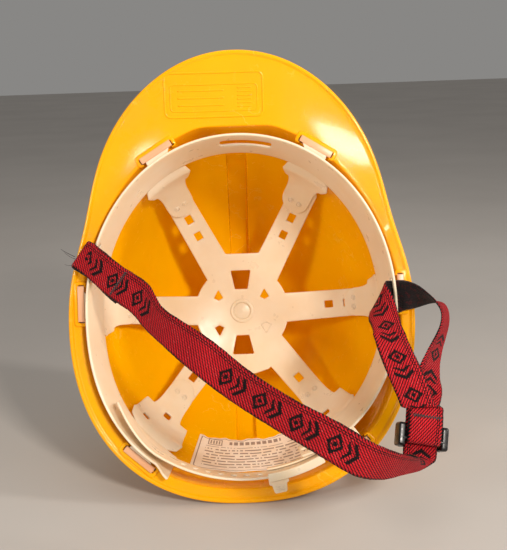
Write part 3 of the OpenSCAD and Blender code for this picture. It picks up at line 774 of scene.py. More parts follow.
def union_outline(shapes, holes):
    """Outline loops of a union of polygons less holes."""
    pts, edges = [], []
    for s in shapes + holes:
        k = len(pts)
        pts += [tuple(p) for p in s]
        edges += [(k + i, k + (i + 1) % len(s)) for i in range(len(s))]
    v, e, f, _, _, _ = delaunay_2d_cdt([Vector(p) for p in pts], edges, [], 0, 1e-5)
    v = A([list(p) for p in v])
    f = np.array([t for t in f if len(t) == 3])
    cen = v[f].mean(1)
    ok = np.zeros(len(f), bool)
    for s in shapes:
        ok |= inside(cen, A(s))
    for s in holes:
        ok &= ~inside(cen, A(s))
    cnt = {}
    for t in f[ok]:
        a = v[t]
        if (a[1][0] - a[0][0]) * (a[2][1] - a[0][1]) - (a[1][1] - a[0][1]) * (a[2][0] - a[0][0]) < 0:
            t = t[::-1]
        for i in range(3):
            cnt[(t[i], t[(i + 1) % 3])] = 1
    nxt = {}
    for (a, b) in cnt:
        if (b, a) not in cnt:
            nxt.setdefault(a, []).append(b)

    def step(a, b):
        """The edge out of b after a; where outlines touch in a point, the one that keeps to the same piece."""
        outs = nxt[b]
        d0 = v[a] - v[b]
        turn = [(math.atan2(d0[1], d0[0]) - math.atan2(*(v[c] - v[b])[::-1])) % (2 * math.pi) for c in outs]
        c = outs.pop(int(np.argmin(turn)))
        if not outs:
            del nxt[b]
        return c
    loops = []
    while nxt:
        a = next(iter(nxt))
        b = nxt[a].pop()
        if not nxt[a]:
            del nxt[a]
        lp, first = [a], a
        while b != first:
            lp.append(b)
            a, b = b, step(a, b)
        pts_ = v[lp]
        keep = []
        for i in range(len(pts_)):
            p0, p1, p2 = pts_[i - 1], pts_[i], pts_[(i + 1) % len(pts_)]
            c = (p1[0] - p0[0]) * (p2[1] - p1[1]) - (p1[1] - p0[1]) * (p2[0] - p1[0])
            if abs(c) > 1e-3 * np.linalg.norm(p1 - p0) * np.linalg.norm(p2 - p1):
                keep.append(p1)
        loops.append(A(keep))
    loops.sort(key=lambda lp: -abs(area2(lp)))
    return loops


def rot2(p, f):
    """Plan point with its y axis turned toward polar angle f."""
    p = A(p)
    c, s = math.cos(math.radians(f)), math.sin(math.radians(f))
    return np.stack([p[..., 0] * c + p[..., 1] * s, -p[..., 0] * s + p[..., 1] * c], -1)


def rbox(mb, c, size, r, M3=None, mat=0, seg=3, org=None):
    """A box with rounded edges, built from a subdivided cage and pushed out from its rounded core."""
    size = A(size) / 2
    r = min(r, size.min() * 0.98)
    core = size - r

    def axis(k):
        a = np.sin(np.linspace(-90, 0, seg + 1) / 57.29578) * r - core[k]
        b = np.sin(np.linspace(0, 90, seg + 1) / 57.29578) * r + core[k]
        return np.concatenate([a, b])
    pts, faces, index = [], [], {}
    ax = [axis(k) for k in range(3)]
    n = len(ax[0])
    for k in range(3):
        i1, i2 = (k + 1) % 3, (k + 2) % 3
        for sgn in (0, n - 1):
            for i in range(n - 1):
                for j in range(n - 1):
                    q = []
                    for (di, dj) in ((0, 0), (1, 0), (1, 1), (0, 1)):
                        key = [0, 0, 0]
                        key[k], key[i1], key[i2] = sgn, i + di, j + dj
                        key = tuple(key)
                        if key not in index:
                            index[key] = len(pts)
                            g = A([(-size[m_] if key[m_] == 0 else size[m_] if key[m_] == n - 1 else ax[m_][key[m_]]) for m_ in range(3)])
                            cr = np.clip(g, -core, core)
                            d = g - cr
                            l = np.linalg.norm(d)
                            pts.append(cr + d / l * r if l > 0 else g)
                        q.append(index[key])
                    faces.append(tuple(q))
    pts = A(pts)
    if M3 is not None:
        pts = pts @ A(M3).T
    return mb.add(pts + A(c), faces, mat)


def tube(mb, path, rad, n=8, mat=0, caps=True):
    path = A(path)
    t = np.gradient(path, axis=0)
    t /= np.linalg.norm(t, axis=1, keepdims=True)
    ref = A([0, 0, 1.0]) if abs(t[0][2]) < 0.9 else A([1.0, 0, 0])
    rows = []
    u = np.cross(t[0], ref)
    rad = np.full(len(path), rad) if np.isscalar(rad) else A(rad)
    for i in range(len(path)):
        u = u - t[i] * (u @ t[i])
        u /= np.linalg.norm(u)
        w = np.cross(t[i], u)
        a = np.linspace(0, 2 * math.pi, n, endpoint=False)
        rows.append(path[i] + rad[i] * (np.cos(a)[:, None] * u + np.sin(a)[:, None] * w))
    k = mb.add(np.concatenate(rows), grid_faces(len(path), n, closed_c=True), mat)
    if caps:
        mb.f += [tuple(range(k + n - 1, k - 1, -1)), tuple(range(k + (len(path) - 1) * n, k + len(path) * n))]
        mb.m += [mat, mat]
    return k


def lathe(mb, prof_pts, O, M3, n=28, mat=0):
    """prof_pts: (radius, height) from the axis out; M3 columns are x, y, axis."""
    a = np.linspace(0, 2 * math.pi, n, endpoint=False)
    rows = []
    for (r_, h_) in prof_pts:
        rows.append(np.stack([np.cos(a) * max(r_, 0.01), np.sin(a) * max(r_, 0.01), np.full(n, h_)], -1))
    pts = np.concatenate(rows) @ A(M3).T + A(O)
    k = mb.add(pts, grid_faces(len(prof_pts), n, closed_c=True), mat)
    mb.f += [tuple(range(k + n - 1, k - 1, -1)), tuple(range(k + (len(prof_pts) - 1) * n, k + len(prof_pts) * n))]
    mb.m += [mat, mat]


def boolean(ob, other, op):
    mod = ob.modifiers.new("b", "BOOLEAN")
    mod.operation = op
    mod.object = other
    try:
        mod.solver = "MANIFOLD"
    except TypeError:
        mod.solver = "EXACT"
    dg = bpy.context.evaluated_depsgraph_get()
    me = bpy.data.meshes.new_from_object(ob.evaluated_get(dg))
    old = ob.data
    ob.modifiers.clear()
    ob.data = me
    bpy.data.meshes.remove(old)
    bpy.data.objects.remove(other, do_unlink=True)


# ------------------------------------------------------------ shell
XR = A([0, 2.4, 4.6, 5.8, 6.3, 6.55, 6.8, 7.05, 7.3, 7.6, 7.85, 8.1, 8.35, 8.6, 8.9, 9.4, 10.4])
XS = np.concatenate([-XR[:0:-1], XR])
X = XR[-1]
J, NS = len(XS), 112


def col_angles(Rf):
    """Polar angle of every column on a ring whose radius is Rf(f): columns over the ridge keep their x."""
    ff = np.zeros(J)
    for _ in range(40):
        ff = np.degrees(np.arcsin(np.clip(XS / np.maximum(Rf(ff), X), -1, 1)))
    fr = 180 - ff[::-1]
    for _ in range(40):
        fr = 180 - np.degrees(np.arcsin(np.clip(XS[::-1] / np.maximum(Rf(fr), X), -1, 1)))
    u = np.linspace(0, 1, NS + 2)[1:-1]
    rs = ff[-1] + (fr[0] - ff[-1]) * u
    ls = fr[-1] + (360 + ff[0] - fr[-1]) * u
    return np.concatenate([ff, rs, fr, ls])


def ridge_push(p, half0, half1, m_front, m_rear, H):
    """Moves points near the middle line out along the ridge's normal."""
    k = 1 - smooth((np.abs(p[:, 0]) - half0) / (half1 - half0))
    t = prof_inv(np.clip(np.abs(p[:, 1]) / np.where(p[:, 1] >= 0, m_front, m_rear), 0, 1))
    q = 1 - (1 - t) ** (1 / 1.9)
    nf, nr = side_n(1, m_front, H, q), side_n(-1, m_rear, H, q)
    fr = p[:, 1] >= 0
    n = np.where(fr[:, None], nf, nr)
    bl = smooth((np.abs(p[:, 1])) / 6.0)[:, None]
    n = n * bl + A([0, -1.0]) * (1 - bl)
    dep = -p[:, 2]
    e = RIDGE_H * np.where(fr, smooth((dep - 36) / 34), smooth((dep - 66) / 34)) * k
    out = p.copy()
    out[:, 1] += n[:, 0] * e
    out[:, 2] += n[:, 1] * e
    return out


def brim_z(f):
    return DROOP * np.maximum(0, cosd(f)) ** 3


def flange_z(f, r):
    a, b = mouth(f) + 1.6, rim(f) - 3.9
    u = np.clip((r - a) / (b - a), 0, 1)
    return (brim_z(f) - 0.2) * u


rows = []  # (radius function, height function, kind)
q_in = np.linspace(1, 0, 47)
tX_in = prof_inv(X / mouth(90.0))
qX_in = 1 - (1 - tX_in) ** (1 / 1.9)
for q in np.linspace(qX_in, 0.02, 50):
    tt = float(q2t(q))
    rows.append((lambda f, tt=tt: mouth(f) * prof(tt), lambda f, r, tt=tt: -DEPTH_IN * tt + 0 * A(f), "in"))
for dr, z in ((0.1, -0.9), (0.35, -0.35), (0.85, -0.06), (1.6, 0.0)):
    rows.append((lambda f, dr=dr: mouth(f) + dr, lambda f, r, z=z: z + 0 * A(f), ""))
for u in np.linspace(0, 1, 17)[1:]:
    rows.append((lambda f, u=u: mouth(f) + 1.6 + (rim(f) - 3.9 - mouth(f) - 1.6) * u,
                 lambda f, r, u=u: (brim_z(f) - 0.2) * u, ""))
for bk, up_ in ((3.3, -0.14), (2.9, 0.14), (2.5, 0.48), (2.1, 0.68), (1.5, 0.75), (0.9, 0.69), (0.4, 0.45), (0.1, 0.05),
                (0, -0.5), (0, -1.5), (0.1, -2.05), (0.4, -2.45), (0.9, -2.68), (1.8, -2.76)):
    rows.append((lambda f, bk=bk: rim(f) - bk, lambda f, r, up_=up_: brim_z(f) + up_, ""))
for u in np.linspace(0, 1, 13)[1:]:
    rows.append((lambda f, u=u: rim(f) - 1.8 + (mouth(f) + WALL + 3.2 - rim(f) + 1.8) * u,
                 lambda f, r, u=u: (brim_z(f) - 2.76) * (1 - u) + -2.85 * u, ""))
for dr, z in ((2.1, -2.95), (1.2, -3.4), (0.5, -4.3)):
    rows.append((lambda f, dr=dr: mouth(f) + WALL + dr, lambda f, r, z=z: z + 0 * A(f), ""))
tX_out = prof_inv(X / (mouth(90.0) + WALL))
qX_out = 1 - (1 - tX_out) ** (1 / 1.9)
q0 = 1 - (1 - 6.0 / DEPTH) ** (1 / 1.9)
for q in np.linspace(q0, qX_out, 50):
    tt = float(q2t(q))
    rows.append((lambda f, tt=tt: (mouth(f) + WALL) * prof(tt), lambda f, r, tt=tt: -DEPTH * tt + 0 * A(f), "out"))


def shell_points(Rf, Zf, kind):
    f = col_angles(Rf)
    r = Rf(f)
    p = pol(r, f, Zf(f, r))
    if kind == "in":
        p = ridge_push(p, 6.35, 7.3, 115.3, REAR - 9, DEPTH_IN)
    if kind == "out":
        p = ridge_push(p, 7.65, 8.75, 115.3 + WALL, REAR - 9 + WALL, DEPTH)
    return p


def make_shell():
    mb = MB()
    pts = [shell_points(*r_) for r_ in rows]
    NC = len(pts[0])
    mb.add(np.concatenate(pts), grid_faces(len(pts), NC, closed_c=True))
    # crown discs: straight lines along the ridge from the front arc to the rear arc
    for ring, H, mw, lo_, hi_, kind in ((0, DEPTH_IN, 0.0, 6.35, 7.3, "in"), (len(pts) - 1, DEPTH, WALL, 7.65, 8.75, "out")):
        Rf, Zf, _ = rows[ring]
        f = col_angles(Rf)
        r = Rf(f)
        flat = pol(r, f, Zf(f, r))
        front, rear = flat[:J], flat[J + NS:J + NS + J][::-1]
        K = 12
        disc = []
        for k in range(K + 1):
            row = front + (rear - front) * k / K
            rr = np.hypot(row[:, 0], row[:, 1])
            fa = np.degrees(np.arctan2(row[:, 0], row[:, 1]))
            t_ = prof_inv(np.clip(rr / (mouth(fa) + mw), 0, 1))
            row = np.stack([row[:, 0], row[:, 1], -H * t_], -1)
            if kind == "in":
                row = ridge_push(row, lo_, hi_, 115.3, REAR - 9, DEPTH_IN)
            else:
                row = ridge_push(row, lo_, hi_, 115.3 + WALL, REAR - 9 + WALL, DEPTH)
            disc.append(row)
        # the two arcs are the ring's own points
        disc[0] = pts[ring][:J]
        disc[-1] = pts[ring][J + NS:J + NS + J][::-1]
        mb.add(np.concatenate(disc), grid_faces(K + 1, J))
    ob = mb.object("shell_skin", [M_SHELL], weld=2e-5)
    return ob


KEYS = [(49.9, 100.5, 31.9), (98.8, 8.0, 90.0), (66.3, -88.4, 139.0)]


def key_frame(k, sg):
    """Origin and matrix of a key: x along the rim, y outward, z out of the opening."""
    a = math.radians(k[2])
    x, y = A([math.cos(a), -math.sin(a), 0]), A([math.sin(a), math.cos(a), 0])
    o = A([k[0], k[1], 0.0])
    m_ = np.stack([x, y, A([0, 0, 1.0])], -1)
    if sg < 0:
        F = np.diag([-1.0, 1, 1])
        o, m_ = F @ o, F @ m_
    return o, m_


def rrect(x0, x1, y0, y1, r, seg=5):
    return fillet([(x0, y0), (x1, y0), (x1, y1), (x0, y1)], r, seg)


def prism(mb, levels, o, m_, mat=0):
    """Closed solid through loops (points, z)."""
    n = len(levels[0][0])
    rows_ = [np.concatenate([lp, np.full((n, 1), z)], 1) @ m_.T + o for lp, z in levels]
    k = mb.add(np.concatenate(rows_), grid_faces(len(rows_), n, closed_c=True), mat)
    mb.f += [tuple(range(k + n - 1, k - 1, -1)), tuple(range(k + (len(rows_) - 1) * n, k + len(rows_) * n))]
    mb.m += [mat, mat]


shell = make_shell()
blocks, slots = MB(), MB()
for k in KEYS:
    for sg in (-1, 1):
        o, m_ = key_frame(k, sg)
        lv = [(rrect(-13.2, 13.2, -2.2, 3.9, 1.2), -20.0), (rrect(-13.8, 13.8, -2.8, 4.5, 1.8), -19.6), (rrect(-14, 14, -3, 4.7, 2), -19)]
        for dz, ins in ((0.2, 0.0), (0.65, 0.12), (0.95, 0.36), (1.15, 0.75)):
            lv.append((rrect(-14 + ins, 14 - ins, -3 + ins, 4.7 - ins, 2 - ins * 0.6), dz))
        prism(blocks, lv, o, m_)
        prism(slots, [(rrect(-11.7, 11.7, -1.7, 1.7, 0.5), -26.0), (rrect(-11.7, 11.7, -1.7, 1.7, 0.5), 0.7),
                      (rrect(-12.1, 12.1, -2.1, 2.1, 0.8), 1.1), (rrect(-12.6, 12.6, -2.6, 2.6, 1.1), 3.2)], o, m_)
        prism(slots, [(rrect(-10.5, 10.5, -4.9, -0.9, 0.4), -3.0), (rrect(-10.5, 10.5, -4.9, -0.9, 0.4), 3.0)], o, m_)
b_ob, s_ob = blocks.object("tmp_blocks", [M_SHELL]), slots.object("tmp_slots", [M_SHELL])
boolean(shell, b_ob, "UNION")
boolean(shell, s_ob, "DIFFERENCE")
finish_mesh(shell, sharp=38, weld=1e-5)
if not shell.data.materials:
    shell.data.materials.append(M_SHELL)
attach(shell, "helmet")
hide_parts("shell")


# raised plain frame and ribs under the brim
def on_brim(x, y, up_=0.0):
    f, r = np.degrees(np.arctan2(x, y)), np.hypot(x, y)
    return np.stack([A(x) + 0 * f, A(y) + 0 * f, flange_z(f, r) + up_], -1)


def bead(mb, loop, w, h, closed=True):
    """Half-round bead laid on the brim along a plan line."""
    loop = A(loop)
    n = len(loop)
    t = np.roll(loop, -1, 0) - np.roll(loop, 1, 0) if closed else np.gradient(loop, axis=0)
    t /= np.linalg.norm(t, axis=1, keepdims=True)
    nn = np.stack([-t[:, 1], t[:, 0]], 1)
    sec = [(-w / 2, -0.35), (-w / 2, 0.0), (-w * 0.42, h * 0.55), (-w * 0.2, h * 0.93), (w * 0.2, h * 0.93), (w * 0.42, h * 0.55), (w / 2, 0.0), (w / 2, -0.35)]
    cols_ = [on_brim(loop[:, 0] + nn[:, 0] * a, loop[:, 1] + nn[:, 1] * a, b) for a, b in sec]
    pts = np.stack(cols_, 1).reshape(-1, 3)
    k = mb.add(pts, grid_faces(n, len(sec), closed_c=True, closed_r=closed))
    if not closed:
        m_ = len(sec)
        mb.f += [tuple(range(k + m_ - 1, k - 1, -1)), tuple(range(k + (n - 1) * m_, k + n * m_))]
        mb.m += [0, 0]


mb = MB()
turn = math.radians(2.2)


def plan(x, y):
    """Picture-aligned plan point: the panel under the brim lies square to the brim's middle."""
    return np.stack([A(x), A(y)], -1)


bead(mb, resample(fillet([plan(-43, 121.5), plan(18, 121.5), plan(18, 148), plan(-43, 148)], 3.5), 1.0), 1.3, 0.42)
bead(mb, resample(fillet([plan(-39.5, 125), plan(14.5, 125), plan(14.5, 141), plan(-39.5, 141)], 2.2), 1.0), 0.9, 0.3)
for i in range(6):
    y = 127.4 + i * 2.25
    bead(mb, np.stack([np.linspace(2, 11, 14), np.full(14, y)], 1), 0.8, 0.3, closed=False)
for i in range(3):
    y = 128.6 + i * 4.4
    bead(mb, np.stack([np.linspace(-35, -6, 30), np.full(30, y)], 1), 1.0, 0.3, closed=False)
panel = mb.object("brim_panel_frame", [M_SHELL], "helmet", slot="shell_yellow")


# ------------------------------------------------------------ headband
KB = 1.66


def band_map(s, z, off):
    f = s / KB
    lift_ = (0.6 + 4.4 * np.clip((z + 21) / 28.5, 0, 1)) * smooth((-148 - f) / 6)
    return pol(band_out(f, z) + lift_ - PL / 2 + off, f, z)


def z_top(f):
    return BAND_TOP - 1.5 * smooth((-148 - f) / 6) - 4 * smooth((f - 150) / 10)


def z_low(f):
    return BAND_TOP - BAND_H - 1 + 3 * smooth((-148 - f) / 6) + 10 * smooth((f - 150) / 10)


fs_ = np.linspace(-154, 160, 190)
low = [(f * KB, float(z_low(f))) for f in fs_]
top = [(f * KB, float(z_top(f))) for f in fs_[::-1]]
rads = [2.2] + [0] * (len(low) - 2) + [6.0] + [4.0] + [0] * (len(top) - 2) + [2.2]
outl = fillet(low + top, rads)
hol = [fillet([(-5.4 * KB, -9.1), (12.2 * KB, -9.1), (12.2 * KB, -0.1), (-5.4 * KB, -0.1)], 2.1),
       fillet([(-77 * KB, 2.4), (-62.6 * KB, 2.4), (-62.6 * KB, 5.8), (-77 * KB, 5.8)], 1.4),
       fillet([(79.8 * KB, 2.4), (93.8 * KB, 2.4), (93.8 * KB, 5.8), (79.8 * KB, 5.8)], 1.4),
       fillet([(156.5 * KB - 4, -7), (156.5 * KB + 4, -7), (156.5 * KB + 4, -1), (156.5 * KB - 4, -1)], 0.8)]
mb = MB()
plate(mb, outl, hol, band_map, PL, r=0.75, step=1.7, spacing=3.2)
headband = mb.object("headband_strip", [M_MILK], "helmet", slot="harness_milky")
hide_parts("headband")

# ------------------------------------------------------------ nape strap and lock
NC_, NR = -3.0, 99.2
KN = 1.72


def nape_out(g):
    g = A(g)
    return NC_ * cosd(g) + np.sqrt(NR * NR - (NC_ * sind(g)) ** 2) - 6.4 * smooth((g - 212) / 26)


def nape_map(s, z, off):
    g = s / KN
    return pol(nape_out(g) - 0.75 + off, g, z)


outl = fillet([(150 * KN, -8), (229 * KN, -8), (236 * KN, -4), (236 * KN, 8), (229 * KN, 12), (150 * KN, 12)], [2, 6, 3, 3, 6, 2])
hol = [fillet([((176 + i * 4.5) * KN - 1.6, -0.5), ((176 + i * 4.5) * KN + 1.6, -0.5), ((176 + i * 4.5) * KN + 1.6, 4.5), ((176 + i * 4.5) * KN - 1.6, 4.5)], 1.3) for i in range(7)]
mb = MB()
plate(mb, outl, hol, nape_map, 1.5, r=0.7, step=1.6, spacing=3.0)
nape = mb.object("nape_strap_strip", [M_MILK], "helmet", slot="harness_milky")
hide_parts("nape_strap")

LIN = NR - 1.5
mb = MB()
sec = fillet([(NR + 2, -10), (NR + 2, 13.8), (LIN - 1.6, 13.8), (LIN - 1.6, 8.6), (LIN - 0.4, 8.6), (LIN - 0.4, 12.5),
              (NR + 0.4, 12.5), (NR + 0.4, -8.5), (LIN - 0.4, -8.5), (LIN - 0.4, -4.6), (LIN - 1.6, -4.6), (LIN - 1.6, -10)], 0.45, 3)
sec = resample(sec, 2.2)
if area2(sec) < 0:
    sec = sec[::-1]
angs = np.concatenate([[152.4, 152.43, 152.53, 152.7], np.linspace(153.4, 172.0, 26), [172.7, 172.87, 172.97, 173.0]])
ins = np.concatenate([[0.42, 0.22, 0.07, 0], np.zeros(26), [0, 0.07, 0.22, 0.42]])
rows_ = []
for a_, i_ in zip(angs, ins):
    s2 = offset_loop(sec, i_)
    p = pol(s2[:, 0], a_, s2[:, 1])
    p[:, 1] += NC_
    rows_.append(p)
n = len(sec)
k = mb.add(np.concatenate(rows_), grid_faces(len(rows_), n, closed_c=True))
mb.f += [tuple(range(k + n - 1, k - 1, -1)), tuple(range(k + (len(rows_) - 1) * n, k + len(rows_) * n))]
mb.m += [0, 0]


def tab_map(x, y, off):
    a = 169.6
    p = np.stack([x, y + NR + 1.0, np.full_like(x, 10.2) + off + 0.05 * y], -1)
    q = rot2(p[:, :2], a)
    return np.stack([q[:, 0], q[:, 1] + NC_, p[:, 2]], -1)


plate(mb, fillet([(-6, 0), (6, 0), (6.2, 3.0), (4.6, 3.8), (3.8, 8.8), (-3.8, 8.8), (-4.6, 3.8), (-6.2, 3.0)], [0.9, 0.9, 1.0, 0.8, 1.3, 1.3, 0.8, 1.0]),
      [], tab_map, 1.6, r=0.6, step=1.2, spacing=2.0)
for i in range(3):
    tube(mb, [tab_map(A([x]), A([5.0 + i * 1.2]), 0.85)[0] for x in np.linspace(-2.8, 2.8, 8)], 0.28, 6)
lock = mb.object("nape_lock_body", [M_MILK], "nape_lock", slot="harness_milky", sharp=50)
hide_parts("nape_lock")

# ------------------------------------------------------------ cradle
ARMS = [-28, 28, -87.5, 87.5, -141.5, 141.5]


def dome_map(x, y, off):
    f, r = np.degrees(np.arctan2(x, y)), np.hypot(x, y)
    Rm = arm_R(f)
    cg = np.clip(r / Rm, 0, 0.9999)
    sg = np.sqrt(1 - cg * cg)
    n0, n1 = cg / Rm, sg / RISE
    ln = np.hypot(n0, n1)
    rr, dd = r + n0 / ln * off, ARM_Z0 + RISE * sg + n1 / ln * off
    return np.stack([rr * sind(f), rr * cosd(f), -dd], -1)


circ = [(34 * math.sin(a), 34 * math.cos(a)) for a in np.linspace(0, 2 * math.pi, 96, endpoint=False)][::-1]
shapes = [circ, [(-13.5, 42), (-20, 30), (21, 30), (14.5, 42)], [(-16, -44), (8, -45.5), (18, -42.5), (24, -34), (-24, -34)]]
for f in ARMS:
    e = float(arm_R(f)) * (0.885 if f < -140 else 0.93)
    ax_ = 2.8 if f == 28 else 0.0
    shapes.append([tuple(rot2((p[0] + ax_, p[1]), f)) for p in ((-11, 12), (11, 12), (11, 16), (9.3, e + 1), (-9.3, e + 1), (-11, 16))])
lps = union_outline(shapes, [])
outer = lps[0]
# corners where an arm meets the hub are small radii, arm ends rounder
rad = []
for p in outer:
    rr = np.hypot(*p)
    rad.append(2.5 if rr > 70 else 1.6 if rr > 35.5 else 0.0)
outer = fillet(outer, rad)
hol = [fillet([(-4.6, 16.3), (4.6, 16.3), (7.2, 29.8), (-7.2, 29.8)], 0.8), fillet([(-4.6, -17.8), (4.6, -17.8), (7.7, -31.4), (-7.7, -31.4)], 0.8)]
for f in ARMS:
    for y in (62.3, 74.7):
        hx, hy = (2.8 if f == 28 else 0.0), y - (3.4 if f < -140 else 0.0)
        hol.append(rot2(fillet([(hx - 2.5, hy - 2.8), (hx + 2.5, hy - 2.8), (hx + 2.5, hy + 2.8), (hx - 2.5, hy + 2.8)], 0.6), f))


def kite(x, y, s_, g=0.0):
    return fillet([(x, y + (4.7 + g) * s_), (x + 3.3 + g, y - 1.3 * s_), (x, y - (3.1 + g) * s_), (x - 3.3 - g, y - 1.3 * s_)], 0.5)


hol += [kite(16.9, 11.4, 1), kite(-16.9, 11.4, 1), kite(-16.9, -13, -1)]
mb = MB()
plate(mb, outer, hol, dome_map, PL, r=0.7, step=1.4, spacing=2.4)
# hub boss with its sunk middle, and the gate marks in it
HM = np.stack([A([1.0, 0, 0]), A([0, 1.0, 0]), A([0, 0, 1.0])], -1)
lathe(mb, [(0, -1.2), (8.2, -1.2), (8.5, -0.9), (8.5, 1.6), (8.35, 1.95), (8.0, 2.15), (7.6, 2.2), (6.9, 2.2), (6.55, 2.1), (6.3, 1.8), (6.2, 1.3), (5.9, 1.15), (5.6, 1.45), (5.2, 1.6), (2.0, 1.62), (1.6, 1.68), (1.2, 1.76), (0.5, 1.76), (0, 1.76)],
      A([0, 0, -HUB]), HM, 72)
# raised outline of the fourth, unpierced lozenge
lz = kite(17.6, -11.8, -1, 0.3)
lz = resample(lz, 0.8)
tube(mb, dome_map(np.append(lz[:, 0], lz[:2, 0]), np.append(lz[:, 1], lz[:2, 1]), -0.9), 0.42, 6)
cradle = mb.object("cradle_body", [M_MILK], "helmet", slot="harness_milky", sharp=60)
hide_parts("cradle")


# ------------------------------------------------------------ hangers
def crom(P_, t):
    """Returns the rows unchanged: no curve is made through them, and t is not used."""
    return P_


def hermite(ts, V, x):
    """Monotone-ish cubic through (ts, V) with finite-difference slopes."""
    ts, V, x = A(ts), A(V), A(x)
    d = np.gradient(V, ts, axis=0)
    i = np.clip(np.searchsorted(ts, x) - 1, 0, len(ts) - 2)
    h = (ts[i + 1] - ts[i])
    u = (x - ts[i]) / h
    if V.ndim == 2:
        u, h = u[:, None], h[:, None]
    h00, h10, h01, h11 = 2 * u**3 - 3 * u**2 + 1, u**3 - 2 * u**2 + u, -2 * u**3 + 3 * u**2, u**3 - u**2
    return h00 * V[i] + h10 * h * d[i] + h01 * V[i + 1] + h11 * h * d[i + 1]


def arm_pt(f, d, off):
    Rm = float(arm_R(f))
    sg = (d - ARM_Z0) / RISE
    cg = math.sqrt(max(0, 1 - sg * sg))
    n = A([cg / Rm, sg / RISE])
    return A([Rm * cg, ARM_Z0 + RISE * sg]) - n / np.linalg.norm(n) * off


TH = 1.4
FKA = {0: 26.4, 1: 85.4, 2: 143.1}
FAA = {0: 28.0, 1: 87.5, 2: 141.5}


